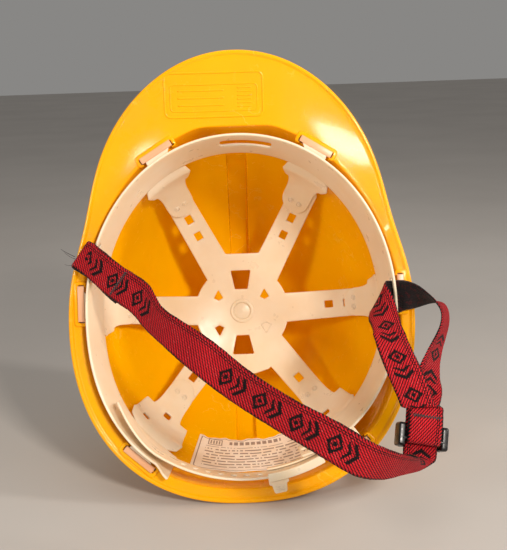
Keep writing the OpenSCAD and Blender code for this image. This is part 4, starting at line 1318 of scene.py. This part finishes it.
def hanger(name, ki, ww, wd, sg, te=0, hs=()):
    k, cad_, fa = KEYS[ki], FKA[ki], FAA[ki]
    rk = math.hypot(k[0], k[1])
    zr = BAND_TOP - BAND_H - 1
    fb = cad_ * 0.6 + fa * 0.4
    b0 = float(band_out(fb * sg, 1.6)) + 0.4 + TH / 2
    b1 = float(band_out(fb * sg, zr)) + 0.4 + TH / 2
    in_off = 0.8 + 0.4 + TH / 2

    def tr(d, w):
        p = arm_pt(fa * sg, d, in_off)
        return [fa, p[0], -p[1], w, 1]
    t0 = tr(32, ww)
    st = [[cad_, rk + 0.4, 1.6, 20, 0], [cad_, max(b0 + 3.6, rk - 4), 1.6, 17, 0], [fb, b0 + 1, 1.55, 15, 0], [fb, b0 - 0.05, 0.3, 15, 0],
          [fb, b0 * 0.5 + b1 * 0.5, -11, 15, 0], [fb, b1, zr - 0.6, 15.5, 0], [fa, b1 * 0.55 + t0[1] * 0.45, zr - 3.6, ww - 3, 0], t0]
    st += [tr(d, ww - 2 - (d - 36) / (wd - 36) * 3.5) for d in range(36, wd - 1, 4)] + [tr(wd, ww - 6), tr(wd + 1.4, 23.4)]
    st += [tr(d, max(19.8, 23 - (d - wd) * 0.3)) for d in np.arange(wd + 4.5, 62 + te, 4)]
    st += [tr(64 + te, 19.6), tr(68 + te, 19.6), tr(71 + te, 19.6), tr(73.9 + te, 19.6)]
    st = A(st)
    c3 = pol(st[:, 1], st[:, 0], st[:, 2])
    ts = np.concatenate([[0], np.cumsum(np.linalg.norm(np.diff(c3, axis=0), axis=1))])
    # rounded path: linear between stations, then smoothed over a few mm
    dense = np.linspace(0, ts[-1], int(ts[-1] / 0.5))
    raw = np.stack([np.interp(dense, ts, st[:, c]) for c in range(5)], 1)
    ker = np.hanning(9)
    ker /= ker.sum()
    pad = np.concatenate([np.repeat(raw[:1], 4, 0), raw, np.repeat(raw[-1:], 4, 0)])
    sm = np.stack([np.convolve(pad[:, c], ker, "valid") for c in range(5)], 1)
    sm[0], sm[-1] = raw[0], raw[-1]
    dn = np.gradient(sm[:, 1:3], axis=0)
    nn = np.stack([-dn[:, 1], dn[:, 0]], 1)
    nn /= np.linalg.norm(nn, axis=1, keepdims=True)

    def fmap(v, u, off):
        g = lambda c: np.interp(u, dense, sm[:, c])
        f0, r0, z0, kind = g(0), g(1), g(2), g(4)
        n0, n1 = np.interp(u, dense, nn[:, 0]), np.interp(u, dense, nn[:, 1])
        r, z = r0 + n0 * off, z0 + n1 * off
        f = f0 + v / r * 57.296
        rb = band_out(f * sg, 0) / band_out(f0 * sg, 0)
        ra = arm_R(f * sg) / arm_R(f0 * sg)
        r = r * (rb * (1 - kind) + ra * kind)
        p = pol(r, f, z)
        if sg < 0:
            p[..., 0] *= -1
        return p
    u64 = float(ts[list(st[:, 2]).index(tr(64 + te, 0)[2])])
    # outline: the stations' widths with rounded corners, and a round end
    k64 = int(np.argmin(np.abs(ts - u64)))
    side = [(float(st[0, 3]) / 2, 0.0)]
    for i in range(1, k64 + 1):
        if i not in (3, 4) and (i > 4 or ts[i] - side[-1][1] > 2.2):
            side.append((float(st[i, 3]) / 2, float(ts[i])))
    he = side[-1][0]
    arc = [(he * math.cos(a), u64 + (ts[-1] - u64) * math.sin(a)) for a in np.linspace(0, math.pi, 26)][1:-1]
    outl_ = fillet(side + arc + [(-h, u) for h, u in side[::-1]], [1.3] * len(side) + [0] * len(arc) + [1.3] * len(side))
    holes = []
    for (hf, hr, hd) in hs:
        # nearest sheet coordinates of the hole
        uu = float(dense[np.argmin(np.abs(sm[:, 2] + hd) + 1e3 * (dense < ts[6]))])
        vv = (hf - fa) / 57.296 * hr
        holes.append(fillet([(vv - 2.5, uu - 3), (vv + 2.5, uu - 3), (vv + 2.5, uu + 3), (vv - 2.5, uu + 3)], 1.2))
    mb = MB()
    plate(mb, outl_, holes, fmap, TH, r=0.65, step=1.3, spacing=2.3)
    o, m_ = key_frame(k, sg)
    rbox(mb, o + m_ @ A([0, 0, -7.0]), (22.2, 2.3, 17.4), 0.5, m_, mat=1)
    rbox(mb, o + m_ @ A([0, 0, 2.2]), (22.0, 4.1, 1.2), 0.45, m_, mat=1)
    # snap studs through the arm
    ud = u64 + (66 - 64) * 1.25
    for xs in (-3.2, 3.2):
        c = fmap(A([xs]), A([ud]), 0.0)[0]
        ex = fmap(A([xs + 0.5]), A([ud]), 0.0)[0] - fmap(A([xs - 0.5]), A([ud]), 0.0)[0]
        ey = fmap(A([xs]), A([ud + 0.5]), 0.0)[0] - fmap(A([xs]), A([ud - 0.5]), 0.0)[0]
        ex /= np.linalg.norm(ex)
        ez = fmap(A([xs]), A([ud]), -0.5)[0] - fmap(A([xs]), A([ud]), 0.5)[0]
        ez /= np.linalg.norm(ez)
        ey = np.cross(ez, ex)
        lathe(mb, [(0, 0.2), (2.0, 0.2), (2.05, 0.75), (1.95, 1.2), (1.7, 1.28), (1.5, 1.1), (1.42, 0.8), (1.1, 0.78), (0.95, 1.1), (0.7, 1.35), (0.3, 1.45), (0, 1.45)],
              c, np.stack([ex, ey, ez], -1), 24)
    ob = mb.object(name + "_body", [M_MILK, M_KEY], "helmet", slot="harness_milky", sharp=60)
    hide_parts(name)
    return ob, fmap, dense


hangers = {}
for nm, ki, ww, wd, sg, te, hs in (("hanger_front_left", 0, 34, 41, -1, 0, ()), ("hanger_front_right", 0, 34, 41, 1, 0, ()),
                                   ("hanger_side_left", 1, 34, 47, -1, 0, ()), ("hanger_side_right", 1, 34, 47, 1, 0, ()),
                                   ("hanger_rear_left", 2, 42, 57, -1, 12, ((135.3, 93, 36), (142.5, 87.2, 56.5))),
                                   ("hanger_rear_right", 2, 40, 56, 1, 7, ((142.5, 87.8, 47.2),))):
    hangers[nm] = hanger(nm, ki, ww, wd, sg, te, hs)

# ------------------------------------------------------------ label on the rear wall
KL = 1.35


def label_map(s, d, off):
    f = s / KL
    t_ = d / DEPTH_IN
    rip = 0.12 * np.sin(s * 0.35) * np.sin(d * 0.3)
    return pol(mouth(f) * prof(t_) - 0.32 - rip + off, f, -d)


bot = [(s * KL, 26.4 + 0.5 * math.sin(s * 0.5)) for s in np.linspace(157, 201, 40)]
topw = [(s * KL, 80 - 2.6 * (0.5 + 0.5 * math.sin((s - 157) * 0.5 + 0.8)) - 0.5 * math.sin((s - 157) * 1.3)) for s in np.linspace(201, 157, 60)]
mb = MB()
lab_out = fillet(bot + topw, [0.5] + [0] * 38 + [0.5, 0.5] + [0] * 58 + [0.5])
lab = resample(lab_out, 1.2)
if area2(lab) < 0:
    lab = lab[::-1]
plate(mb, lab_out, [], label_map, 0.3, r=0.15, step=1.2, spacing=2.0, uvs=0.01)
allv = np.concatenate(mb.uv) / 0.01
dist = np.full(len(allv), 1e9)
for i in range(len(lab)):
    a, b = lab[i], lab[(i + 1) % len(lab)]
    ab = b - a
    t_ = np.clip(((allv - a) @ ab) / (ab @ ab), 0, 1)
    dist = np.minimum(dist, np.linalg.norm(allv - (a + t_[:, None] * ab), axis=1))
mb.att["edge"] = dist * 0.01
# the printed side's own coordinates: along the label from its left end, up from its lower edge
mb.uv = [np.stack([(201 * KL - allv[:, 0]), (allv[:, 1] - 26.0) * 0.62], 1) * 0.01]
label = mb.object("inner_label_sheet", [M_LABEL], "helmet", slot="label_paper")
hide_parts("inner_label")

# ------------------------------------------------------------ chin strap webbing
WEB_W, WEB_T = 20.0, 1.3
main_e1 = A([[-88,44,14],[-81,39,18],[-70,29,22],[-62,24,27],[-53,17,36],[-45,4,49],[-32,-5,59],[-15,-17,68],[-2,-28,78],[12,-38,86],[28,-48,95],
             [40,-54,101],[51,-60,105],[62,-68,105],[74,-74,98],[85,-79,84],[92,-82.5,69],[90,-83,57]])
main_e2 = A([[-100,30,8],[-93,23,11.2],[-82,14,18],[-74,8,27],[-64,1,32],[-55,-9,39],[-45,-18,51],[-28,-32,68],[-14,-43,74],[0,-53,80],[18,-64,89],
             [30,-71,97],[40,-77,103],[54,-85,101],[69,-90,88],[84,-92,68],[96,-93,52],[103.4,-91,45.6]])
fold_e1 = A([[-62.3,23.1,25.9],[-69.7,28,20.9],[-78,35.4,11.5],[-83,39.6,5.6],[-87.6,43,4.2],[-91,45.4,5],[-92.2,46,8.4],[-90.6,45.4,12.2],[-88,44,14],[-84.5,41.5,16]])
fold_e2 = A([[-74.3,7.1,26],[-81.8,13.1,16.9],[-87,18,8],[-90.2,21,4.6],[-95.2,25,3.9],[-99.6,28,3.4],[-103,30.6,4.6],[-102.8,31.4,7],[-100,30,8],[-96.5,26.5,9.6]])
lo_a, lo_b = A([97.3, -86.5, 46]), A([102.4, -56, 39.1])
lo_t = (lo_b - lo_a) / np.linalg.norm(lo_b - lo_a)
lo_w0 = A([-0.985, 0.03, 0.17])
lo_w = lo_w0 - (lo_w0 @ lo_t) * lo_t
lo_w /= np.linalg.norm(lo_w)
lo_n = np.cross(lo_t, lo_w)
out_e1 = np.concatenate([[lo_a + (lo_b - lo_a) * k / 4 + lo_w * 10 for k in range(5)],
                         [[96.6,-49,40.7],[100.3,-36.6,41],[103.7,-29.8,41.2],[107.8,-23.7,39.6],[111.7,-18.2,37.3],[114.8,-13.1,35],
    [116.5,-8.6,32.2],[117.1,-4.5,29.2],[116,-0.6,26.8],[113.6,3.4,24.8],[110.3,7.4,21.8],[105.9,11.6,17.4],
    [101.4,14.3,13]]])
out_e2 = np.concatenate([[lo_a + (lo_b - lo_a) * k / 4 - lo_w * 10 for k in range(5)],
                         [[113.6,-51.6,34.9],[114.5,-43.7,29.4],[115.5,-35.7,26.8],[117.8,-27.7,23.6],[121.4,-19.6,19.8],[124,-13.2,16.6],
    [125.4,-6.6,13],[124.3,-1.1,9.6],[120.7,0.9,7],[115.7,0.5,5.7],[110.2,-1.2,4.9],[104.7,-2.5,4.5],[99.1,-3.5,4.2]]])
rl_e1 = A([[116.5,-8.6,32.2],[117.1,-4.5,29.2],[116,-0.6,26.8],[113.6,3.4,24.8],[110.3,7.4,21.8],[105.9,11.6,17.4],
    [101.4,14.3,13],[97.8,15.2,6.2],[95,15.2,4.7],[92.2,15.2,4.7],[89.9,15.3,5.3],[88.7,15,7.6],[89,13.9,10.4],
    [90.2,10.5,13],[91.6,5,15.4],[93,-1.5,18.2],[94.2,-8,22.5],[95,-14,28.5]])
rl_e2 = A([[125.4,-6.6,13],[124.3,-1.1,9.6],[120.7,0.9,7],[115.7,0.5,5.7],[110.2,-1.2,4.9],[104.7,-2.5,4.5],
    [99.1,-3.5,4.2],[98.4,-4.2,4],[95.4,-4.8,4],[92.6,-4.8,4.4],[87.5,-4.6,4.2],[82.6,-4.4,4.2],[78.6,-5,6.4],
    [76.6,-6.2,10.5],[75.9,-7.6,16],[75.4,-9.5,23],[75,-12.5,30.5],[75,-16,36.5]])
in_c = lo_a + lo_t * 24.9 + lo_n * 6.4
in_e1 = np.concatenate([[in_c - lo_w * 10, in_c + lo_t * 4 - lo_w * 10 + A([-0.6, 0, 0.3])],
                        [[107,-57,48],[104.5,-49.5,47.8],[101,-38,45],[98,-28,41.5],[96,-20,35],[94.6,-11.5,26],[93.2,-3,19.2],
    [91.8,4,15.8],[90.4,9.8,13.3]]])
in_e2 = np.concatenate([[in_c + lo_w * 10, in_c + lo_t * 4 + lo_w * 10 + A([-0.6, 0, 0.3])],
                        [[88,-57.5,51],[85.5,-51,50.4],[82,-41,47.5],[77.5,-28.5,43],[75.3,-18.5,37.4],[75.2,-11.8,29],[75.7,-8,18.6],
    [76.4,-6.4,12],[78.4,-5.1,6.8]]])


def cr(p, u):
    n_ = len(p) - 1
    x = np.clip(A(u) * n_, 0, n_ - 1e-6)
    i = np.floor(x).astype(int)
    t_ = (x - i)[:, None]
    a, b, c, d = p[np.maximum(0, i - 1)], p[i], p[np.minimum(n_, i + 1)], p[np.minimum(n_, i + 2)]
    return 0.5 * (2 * b + (c - a) * t_ + (2 * a - 5 * b + 4 * c - d) * t_**2 + (3 * b - a - 3 * c + d) * t_**3)


def centre_and_across(a, b, u):
    p, q = cr(a, u), cr(b, u)
    d = p - q
    return (p + q) / 2, d / np.linalg.norm(d, axis=1, keepdims=True)


def strand(a, b, n_):
    """Evenly spaced stations: centres, across vectors and lengths along."""
    u = np.linspace(0, 1, 1200)
    m_, w_ = centre_and_across(a, b, u)
    L = np.concatenate([[0], np.cumsum(np.linalg.norm(np.diff(m_, axis=0), axis=1))])
    uu = np.interp(np.linspace(0, L[-1], n_), L, u)
    m_, w_ = centre_and_across(a, b, uu)
    return m_, w_, np.linspace(0, L[-1], n_)


def blur(v, k):
    ker = np.hanning(2 * k + 3)[1:-1]
    ker /= ker.sum()
    pad = np.concatenate([2 * v[:1] - v[1:k + 1][::-1], v, 2 * v[-1:] - v[-k - 1:-1][::-1]])
    out = np.stack([np.convolve(pad[:, c], ker, "valid") for c in range(v.shape[1])], 1)
    out[0], out[-1] = v[0], v[-1]
    return out


NA_ = 17  # points across each face
av_ = np.linspace(-1, 1, NA_)


def web_mesh(mb, m_, w_, L, flip=False, T=WEB_T, s0=0.0, plain=0.0, caps=(True, True), width=WEB_W, cup=0.0):
    """Webbing through stations. The red face is on the side of travel x across, unless flip."""
    t_ = np.gradient(m_, axis=0)
    t_ /= np.linalg.norm(t_, axis=1, keepdims=True)
    n_ = np.cross(t_, w_)
    n_ /= np.linalg.norm(n_, axis=1, keepdims=True)
    N = len(m_)
    k0 = np.sin(np.arange(N) * 0.31) * 0.06 + np.sin(np.arange(N) * 0.83 + 1) * 0.05
    half_w = width / 2 + k0
    prof_h = T / 2 * np.minimum(1.0, np.sqrt(np.maximum(0, 1 - (np.maximum(0, (np.abs(av_) * 10 - 9.2)) / 0.8) ** 2)))
    prof_h = np.maximum(prof_h, 0.0)
    prof_h = prof_h + 0.05 * (np.abs(av_) > 0.86) * (np.abs(av_) < 0.99)
    cupc = cup * (av_ ** 2 - 0.33)
    top_, bot_ = [], []
    for j, a_ in enumerate(av_):
        base = m_ + w_ * (a_ * half_w)[:, None] + n_ * cupc[j]
        top_.append(base + n_ * prof_h[j])
        bot_.append(base - n_ * prof_h[j])
    # loop of points: top from -1 to 1, bottom back, sharing the two edge points
    colsT = top_
    colsB = bot_[1:-1][::-1]
    allc = np.stack(colsT + colsB, 1)
    nc = allc.shape[1]
    vv = np.concatenate([av_, av_[1:-1][::-1]]) * width / 2
    uv = np.stack(np.broadcast_arrays((L + s0)[:, None], vv[None, :]), -1) / 100.0
    faces = grid_faces(N, nc, closed_c=True)
    mats = []
    for i in range(N - 1):
        mats += [0 if j < NA_ - 1 else 1 for j in range(nc)]
    if flip:
        mats = [1 - x for x in mats]
    pl = np.broadcast_to(np.asarray(plain, float).reshape(-1, 1) if np.ndim(plain) else np.full((N, 1), plain), (N, nc))
    k = mb.add(allc.reshape(-1, 3), faces, mats, uv.reshape(-1, 2), plain=pl.ravel(), soil=np.zeros(N * nc))
    for cap, i in zip(caps, (0, N - 1)):
        if cap:
            lp = list(range(k + i * nc, k + (i + 1) * nc))
            mb.f.append(tuple(lp[::-1] if i == 0 else lp))
            mb.m.append(1)
    return k


# one line of webbing: main run, then the outer strand
E1, E2 = np.concatenate([main_e1, out_e1]), np.concatenate([main_e2, out_e2])
m_all, w_all, L_all = strand(E1, E2, 860)
m_all, w_all = blur(m_all, 5), blur(w_all, 5)
w_all /= np.linalg.norm(w_all, axis=1, keepdims=True)
STEP = L_all[1]
# the right loop: on through the slot and back up to the inner strand
m_rl, w_rl, L_rl = strand(rl_e1, rl_e2, int(70 / STEP) + 40)
m_in, w_in, L_in = strand(in_e1, in_e2, 190)
print("webbing lengths", L_all[-1], L_rl[-1], L_in[-1])


def nearest(m_, p):
    return int(np.argmin(np.linalg.norm(m_ - A(p), axis=1)))


i_left = int(31.0 / STEP)                      # the bar tack at the left loop
i_slide = nearest(m_all, lo_a + lo_t * 11.4)     # under the slider
# --- left piece: the loop through the band's slot
mbl = MB()
web_mesh(mbl, m_all[:i_left + 1], w_all[:i_left + 1], L_all[:i_left + 1], s0=0, caps=(True, True))
m_f, w_f, L_f = strand(fold_e1, fold_e2, 90)
m_f, w_f = blur(m_f, 3), blur(w_f, 3)
w_f /= np.linalg.norm(w_f, axis=1, keepdims=True)
web_mesh(mbl, m_f, w_f, L_f, flip=False, s0=-60, plain=1.0)
webbing_left = mbl.object("webbing_left_loop", [M_RED, M_BLACK], slot="webbing_red")
# --- main piece
mbm = MB()
pl = np.zeros(i_slide - i_left + 1)
web_mesh(mbm, m_all[i_left:i_slide + 1], w_all[i_left:i_slide + 1], L_all[i_left:i_slide + 1], plain=pl, cup=0.25)
webbing_main = mbm.object("webbing_main_run", [M_RED, M_BLACK], "chin_strap", slot="webbing_red")
# --- right piece: outer strand from the slider up, through the right slot, to the inner strand
i_end = nearest(m_all, [120.4, -3, 22.5])
j0 = nearest(m_rl, m_all[i_end])
seg_m = np.concatenate([m_all[i_slide:i_end], m_rl[j0:]])
seg_w = np.concatenate([w_all[i_slide:i_end], w_rl[j0:]])
# carry on up the inner strand, which runs the other way
m_inr, w_inr = m_in[::-1], w_in[::-1]
j1 = nearest(m_inr, m_rl[-1])
i_cut = nearest(m_inr, [90.5, -34, 44])
w_tail = w_inr if (w_inr[j1] @ w_rl[-1]) > 0 else -w_inr
seg_m = np.concatenate([seg_m, m_inr[j1 + 3:i_cut + 1]])
seg_w = np.concatenate([seg_w, w_tail[j1 + 3:i_cut + 1]])
seg_m, seg_w = blur(seg_m, 4), blur(seg_w, 4)
seg_w /= np.linalg.norm(seg_w, axis=1, keepdims=True)
Ls = np.concatenate([[0], np.cumsum(np.linalg.norm(np.diff(seg_m, axis=0), axis=1))]) + L_all[i_slide]
mbr = MB()
web_mesh(mbr, seg_m, seg_w, Ls)
webbing_right = mbr.object("webbing_right_loop", [M_RED, M_BLACK], slot="webbing_red")
# --- inner strand down to the slider, round its bar and doubled back
SC = lo_a + lo_t * 11.4


def sl(x, y, z):
    """Slider frame: x across, y along the strap, z away from the camera."""
    return SC + lo_w * x + lo_t * y - lo_n * z


tail_m, tail_w = m_inr[i_cut:], w_tail[i_cut:]
ww_end = lo_w if (tail_w[-1] @ lo_w) > 0 else -lo_w
loop2 = [(11.4, -6.6), (9, -6.8), (6, -6.85), (3.4, -6.6), (1.0, -6.3), (-1.0, -6.0), (-2.7, -5.55), (-3.8, -4.8), (-4.05, -3.7), (-3.6, -2.6), (-2.6, -1.85),
         (-1.3, -1.85), (0.2, -2.55), (2.0, -3.6), (4.4, -4.55), (7.4, -5.15), (10, -5.3), (12.6, -5.15)]
loop_m = A([sl(0, a, b) for a, b in loop2])
seg2 = np.concatenate([tail_m, loop_m])
d2 = np.concatenate([[0], np.cumsum(np.linalg.norm(np.diff(seg2, axis=0), axis=1))])
n2_ = int(d2[-1] / 0.6)
x2 = np.linspace(0, d2[-1], n2_)
seg2 = np.stack([np.interp(x2, d2, seg2[:, c]) for c in range(3)], 1)
wseq = np.concatenate([tail_w, np.repeat(ww_end[None], len(loop_m), 0)])
w2 = np.stack([np.interp(x2, d2, wseq[:, c]) for c in range(3)], 1)
seg2, w2 = blur(seg2, 1), blur(w2, 4)
w2 /= np.linalg.norm(w2, axis=1, keepdims=True)
mbi = MB()
L2 = x2 + Ls[-1]
plain2 = (x2 > d2[len(tail_m) - 1] - 1.0).astype(float)
web_mesh(mbi, seg2, w2, L2, plain=plain2)
webbing_inner = mbi.object("webbing_inner_strand", [M_RED, M_BLACK], slot="webbing_red")

# ------------------------------------------------------------ stitches and thread ends
def stitches(mb, path, normal, n_, r=0.26, slant=0.9, mat=0, lift_=0.32):
    """A zig-zag row of thread over a line."""
    path = A(path)
    d = path[-1] - path[0]
    L = np.linalg.norm(d)
    d = d / L
    nv = A(normal) / np.linalg.norm(normal)
    side = np.cross(nv, d)
    for i in range(n_):
        c = path[0] + d * L * (i + 0.5) / n_
        s_ = slant if i % 2 else -slant
        a = c + side * s_ - d * L / n_ * 0.5
        b = c - side * s_ + d * L / n_ * 0.5
        q = [a - nv * 0.25, a + nv * lift_ * 0.6, (a + b) / 2 + nv * lift_, b + nv * lift_ * 0.6, b - nv * 0.25]
        u_ = np.linspace(0, 1, 9)
        pts = np.stack([np.interp(u_ * 4, range(5), A(q)[:, c_]) for c_ in range(3)], 1)
        tube(mb, pts, r, 6, mat)


def frame_at(m_, w_, i):
    t_ = m_[min(i + 1, len(m_) - 1)] - m_[max(i - 1, 0)]
    t_ = t_ / np.linalg.norm(t_)
    n_ = np.cross(t_, w_[i])
    return m_[i], w_[i], n_ / np.linalg.norm(n_), t_


mb = MB()
c, w_, n_, t_ = frame_at(m_all, w_all, i_left)
stitches(mb, [c - w_ * 8.2 + n_ * 0.62, c + w_ * 8.2 + n_ * 0.62], n_, 22)
tack_l = mb.object("bar_tack_left_stitches", [M_THREAD], "chin_strap", slot="thread_black")
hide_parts("bar_tack_left")

mb = MB()
c = sl(0, 11.0, -7.28)
stitches(mb, [c - lo_w * 8.2, c + lo_w * 8.2], lo_n + lo_t * 0.08, 20, slant=0.8)
tack_s = mb.object("bar_tack_slider_stitches", [M_THREAD], "strap_slider", slot="thread_black")
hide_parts("bar_tack_slider")

mb = MB()
for (a, b, c3, r_) in (((-99.7, 36.6, 13.2), (-104.5, 39.0, 14.6), (-108.2, 41.6, 13.2), 0.22), ((-98.7, 35.0, 13.0), (-103.2, 36.2, 15.4), (-106.0, 40.2, 15.8), 0.18),
                       ((-101.0, 32.0, 10.2), (-104.0, 31.0, 12.0), (-106.4, 32.4, 11.6), 0.16)):
    u_ = np.linspace(0, 1, 16)[:, None]
    p = (1 - u_) ** 2 * A(a) + 2 * u_ * (1 - u_) * A(b) + u_**2 * A(c3)
    tube(mb, p, np.linspace(r_, r_ * 0.5, 16), 6)
tails = mb.object("thread_ends_left", [M_THREAD], "helmet", slot="thread_black")
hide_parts("thread_tail")

# ------------------------------------------------------------ slider
mb = MB()
SM = np.stack([lo_w, lo_t, -lo_n], -1)
for s_ in (-1, 1):
    # rail: a rounded oblong seen from the side, bowed a little outward
    side = fillet([(-6.7, -5.0), (6.7, -5.0), (6.7, 3.4), (-6.7, 3.4)], 1.7, 6)
    side = resample(side, 1.5)
    lv = []
    for x_, ins_ in ((-2.0, 0.7), (-1.85, 0.32), (-1.5, 0.08), (-1.0, 0.0), (0.9, 0.0), (1.4, 0.14), (1.75, 0.45), (2.0, 1.0)):
        lp = offset_loop(side if area2(side) > 0 else side[::-1], ins_)
        lv.append(np.stack([np.full(len(lp), s_ * (12.8 + x_)), lp[:, 0], lp[:, 1]], 1) @ SM.T + SC)
    n_ = len(lv[0])
    k = mb.add(np.concatenate(lv), grid_faces(len(lv), n_, closed_c=True))
    mb.f += [tuple(range(k + n_ - 1, k - 1, -1)), tuple(range(k + (len(lv) - 1) * n_, k + len(lv) * n_))]
    mb.m += [0, 0]
for (y_, z_, d_) in ((5.5, 2.2, 2.4), (-5.5, 2.2, 2.4), (-2.0, -3.7, 2.4)):
    path = [sl(x_, y_, z_) for x_ in np.linspace(-12.4, 12.4, 24)]
    rr = [d_ / 2 * (1 + 0.22 * max(0.0, (abs(x_) - 9.4) / 3.0)) for x_ in np.linspace(-12.4, 12.4, 24)]
    tube(mb, path, rr, 18)
slider = mb.object("strap_slider_body", [M_SLIDER], "strap_slider", slot="slider_black", sharp=50)
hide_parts("strap_slider")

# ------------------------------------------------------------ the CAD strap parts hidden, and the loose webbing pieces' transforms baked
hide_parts("chin_loop_left")
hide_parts("chin_strap")
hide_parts("chin_loop_right")
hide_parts("chin_strap_inner_strand", "slider_loop")
tuple(P([-93, 33, 8]))
tuple(P([-77, 22, 20]))
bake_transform(webbing_left)
tuple(P([97, 3, 10]))
tuple(P([95, -20, 26]))
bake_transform(webbing_right)
tuple(P([91, -38, 46]))
tuple(P([97, -66, 50]))
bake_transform(webbing_inner)

# ------------------------------------------------------------ floor, light
def stage_material(name, c, c2, rough):
    t = NT(name)
    t.set(Base_Color=t.mix(t.ramp(t.noise(3.0, 4.0), 0.35, 0.7), c, c2))
    t.set(Roughness=rough)
    return t.mat


mb = MB()
# flat and open on every side, so that nothing stands between the object and any camera
pts = [(y, 0.0) for y in np.linspace(-7.0, 7.0, 29)]
xs = np.linspace(-7.0, 7.0, 29)
g = A([[x, y, z] for (y, z) in pts for x in xs])
mb.add(g, grid_faces(len(pts), len(xs)))
M_FLOOR = stage_material("stage_pale", col(196, 190, 184), col(188, 182, 176), 0.75)
floor = mb.object("stage_floor", [M_FLOOR], world=True)


def area_light(name, loc, target, size, power, colour=(1, 1, 1)):
    d = bpy.data.lights.new(name, "AREA")
    d.shape = "RECTANGLE"
    d.size, d.size_y = size
    d.energy = power
    d.color = colour
    o = bpy.data.objects.new(name, d)
    scene.collection.objects.link(o)
    o.location = loc
    o.rotation_mode = "QUATERNION"
    o.rotation_quaternion = (Vector(target) - Vector(loc)).to_track_quat("-Z", "Y")
    return o


def dirloc(az, el, dist, c=(0, 0, 0.13)):
    a, e = math.radians(az), math.radians(el)
    return (c[0] + dist * math.sin(a) * math.cos(e), c[1] - dist * math.cos(a) * math.cos(e), c[2] + dist * math.sin(e))


area_light("key", dirloc(25, 27, 1.35), (0, 0, 0.13), (0.18, 0.18), 12.6, (1.0, 0.93, 0.84))
area_light("fill", dirloc(-42, 20, 1.4), (0, 0, 0.13), (0.26, 0.26), 6.0, (1.0, 0.94, 0.87))
area_light("side", dirloc(72, 22, 1.2), (0.05, 0, 0.15), (0.12, 0.5), 6.0, (1.0, 0.96, 0.92))
# small soft lights beside the camera: only their shine on the brim shows
area_light("glint_right", dirloc(-6.8, 13.0, 1.75), (0, 0, 0.13), (0.05, 0.11), 0.95, (1.0, 0.98, 0.95))
area_light("glint_left", dirloc(6.8, 11.4, 1.75), (0, 0, 0.13), (0.03, 0.04), 0.14, (1.0, 0.98, 0.95))
area_light("top", dirloc(10, 78, 1.3), (0, 0, 0.1), (0.9, 0.9), 3.0, (1.0, 0.97, 0.93))
world = bpy.data.worlds.new("world")
scene.world = world
world.use_nodes = True
world.node_tree.nodes["Background"].inputs[0].default_value = (0.95, 0.93, 0.9, 1)
world.node_tree.nodes["Background"].inputs[1].default_value = 0.26
scene.view_settings.view_transform = "Standard"
scene.view_settings.look = "None"
scene.view_settings.exposure = 0.0
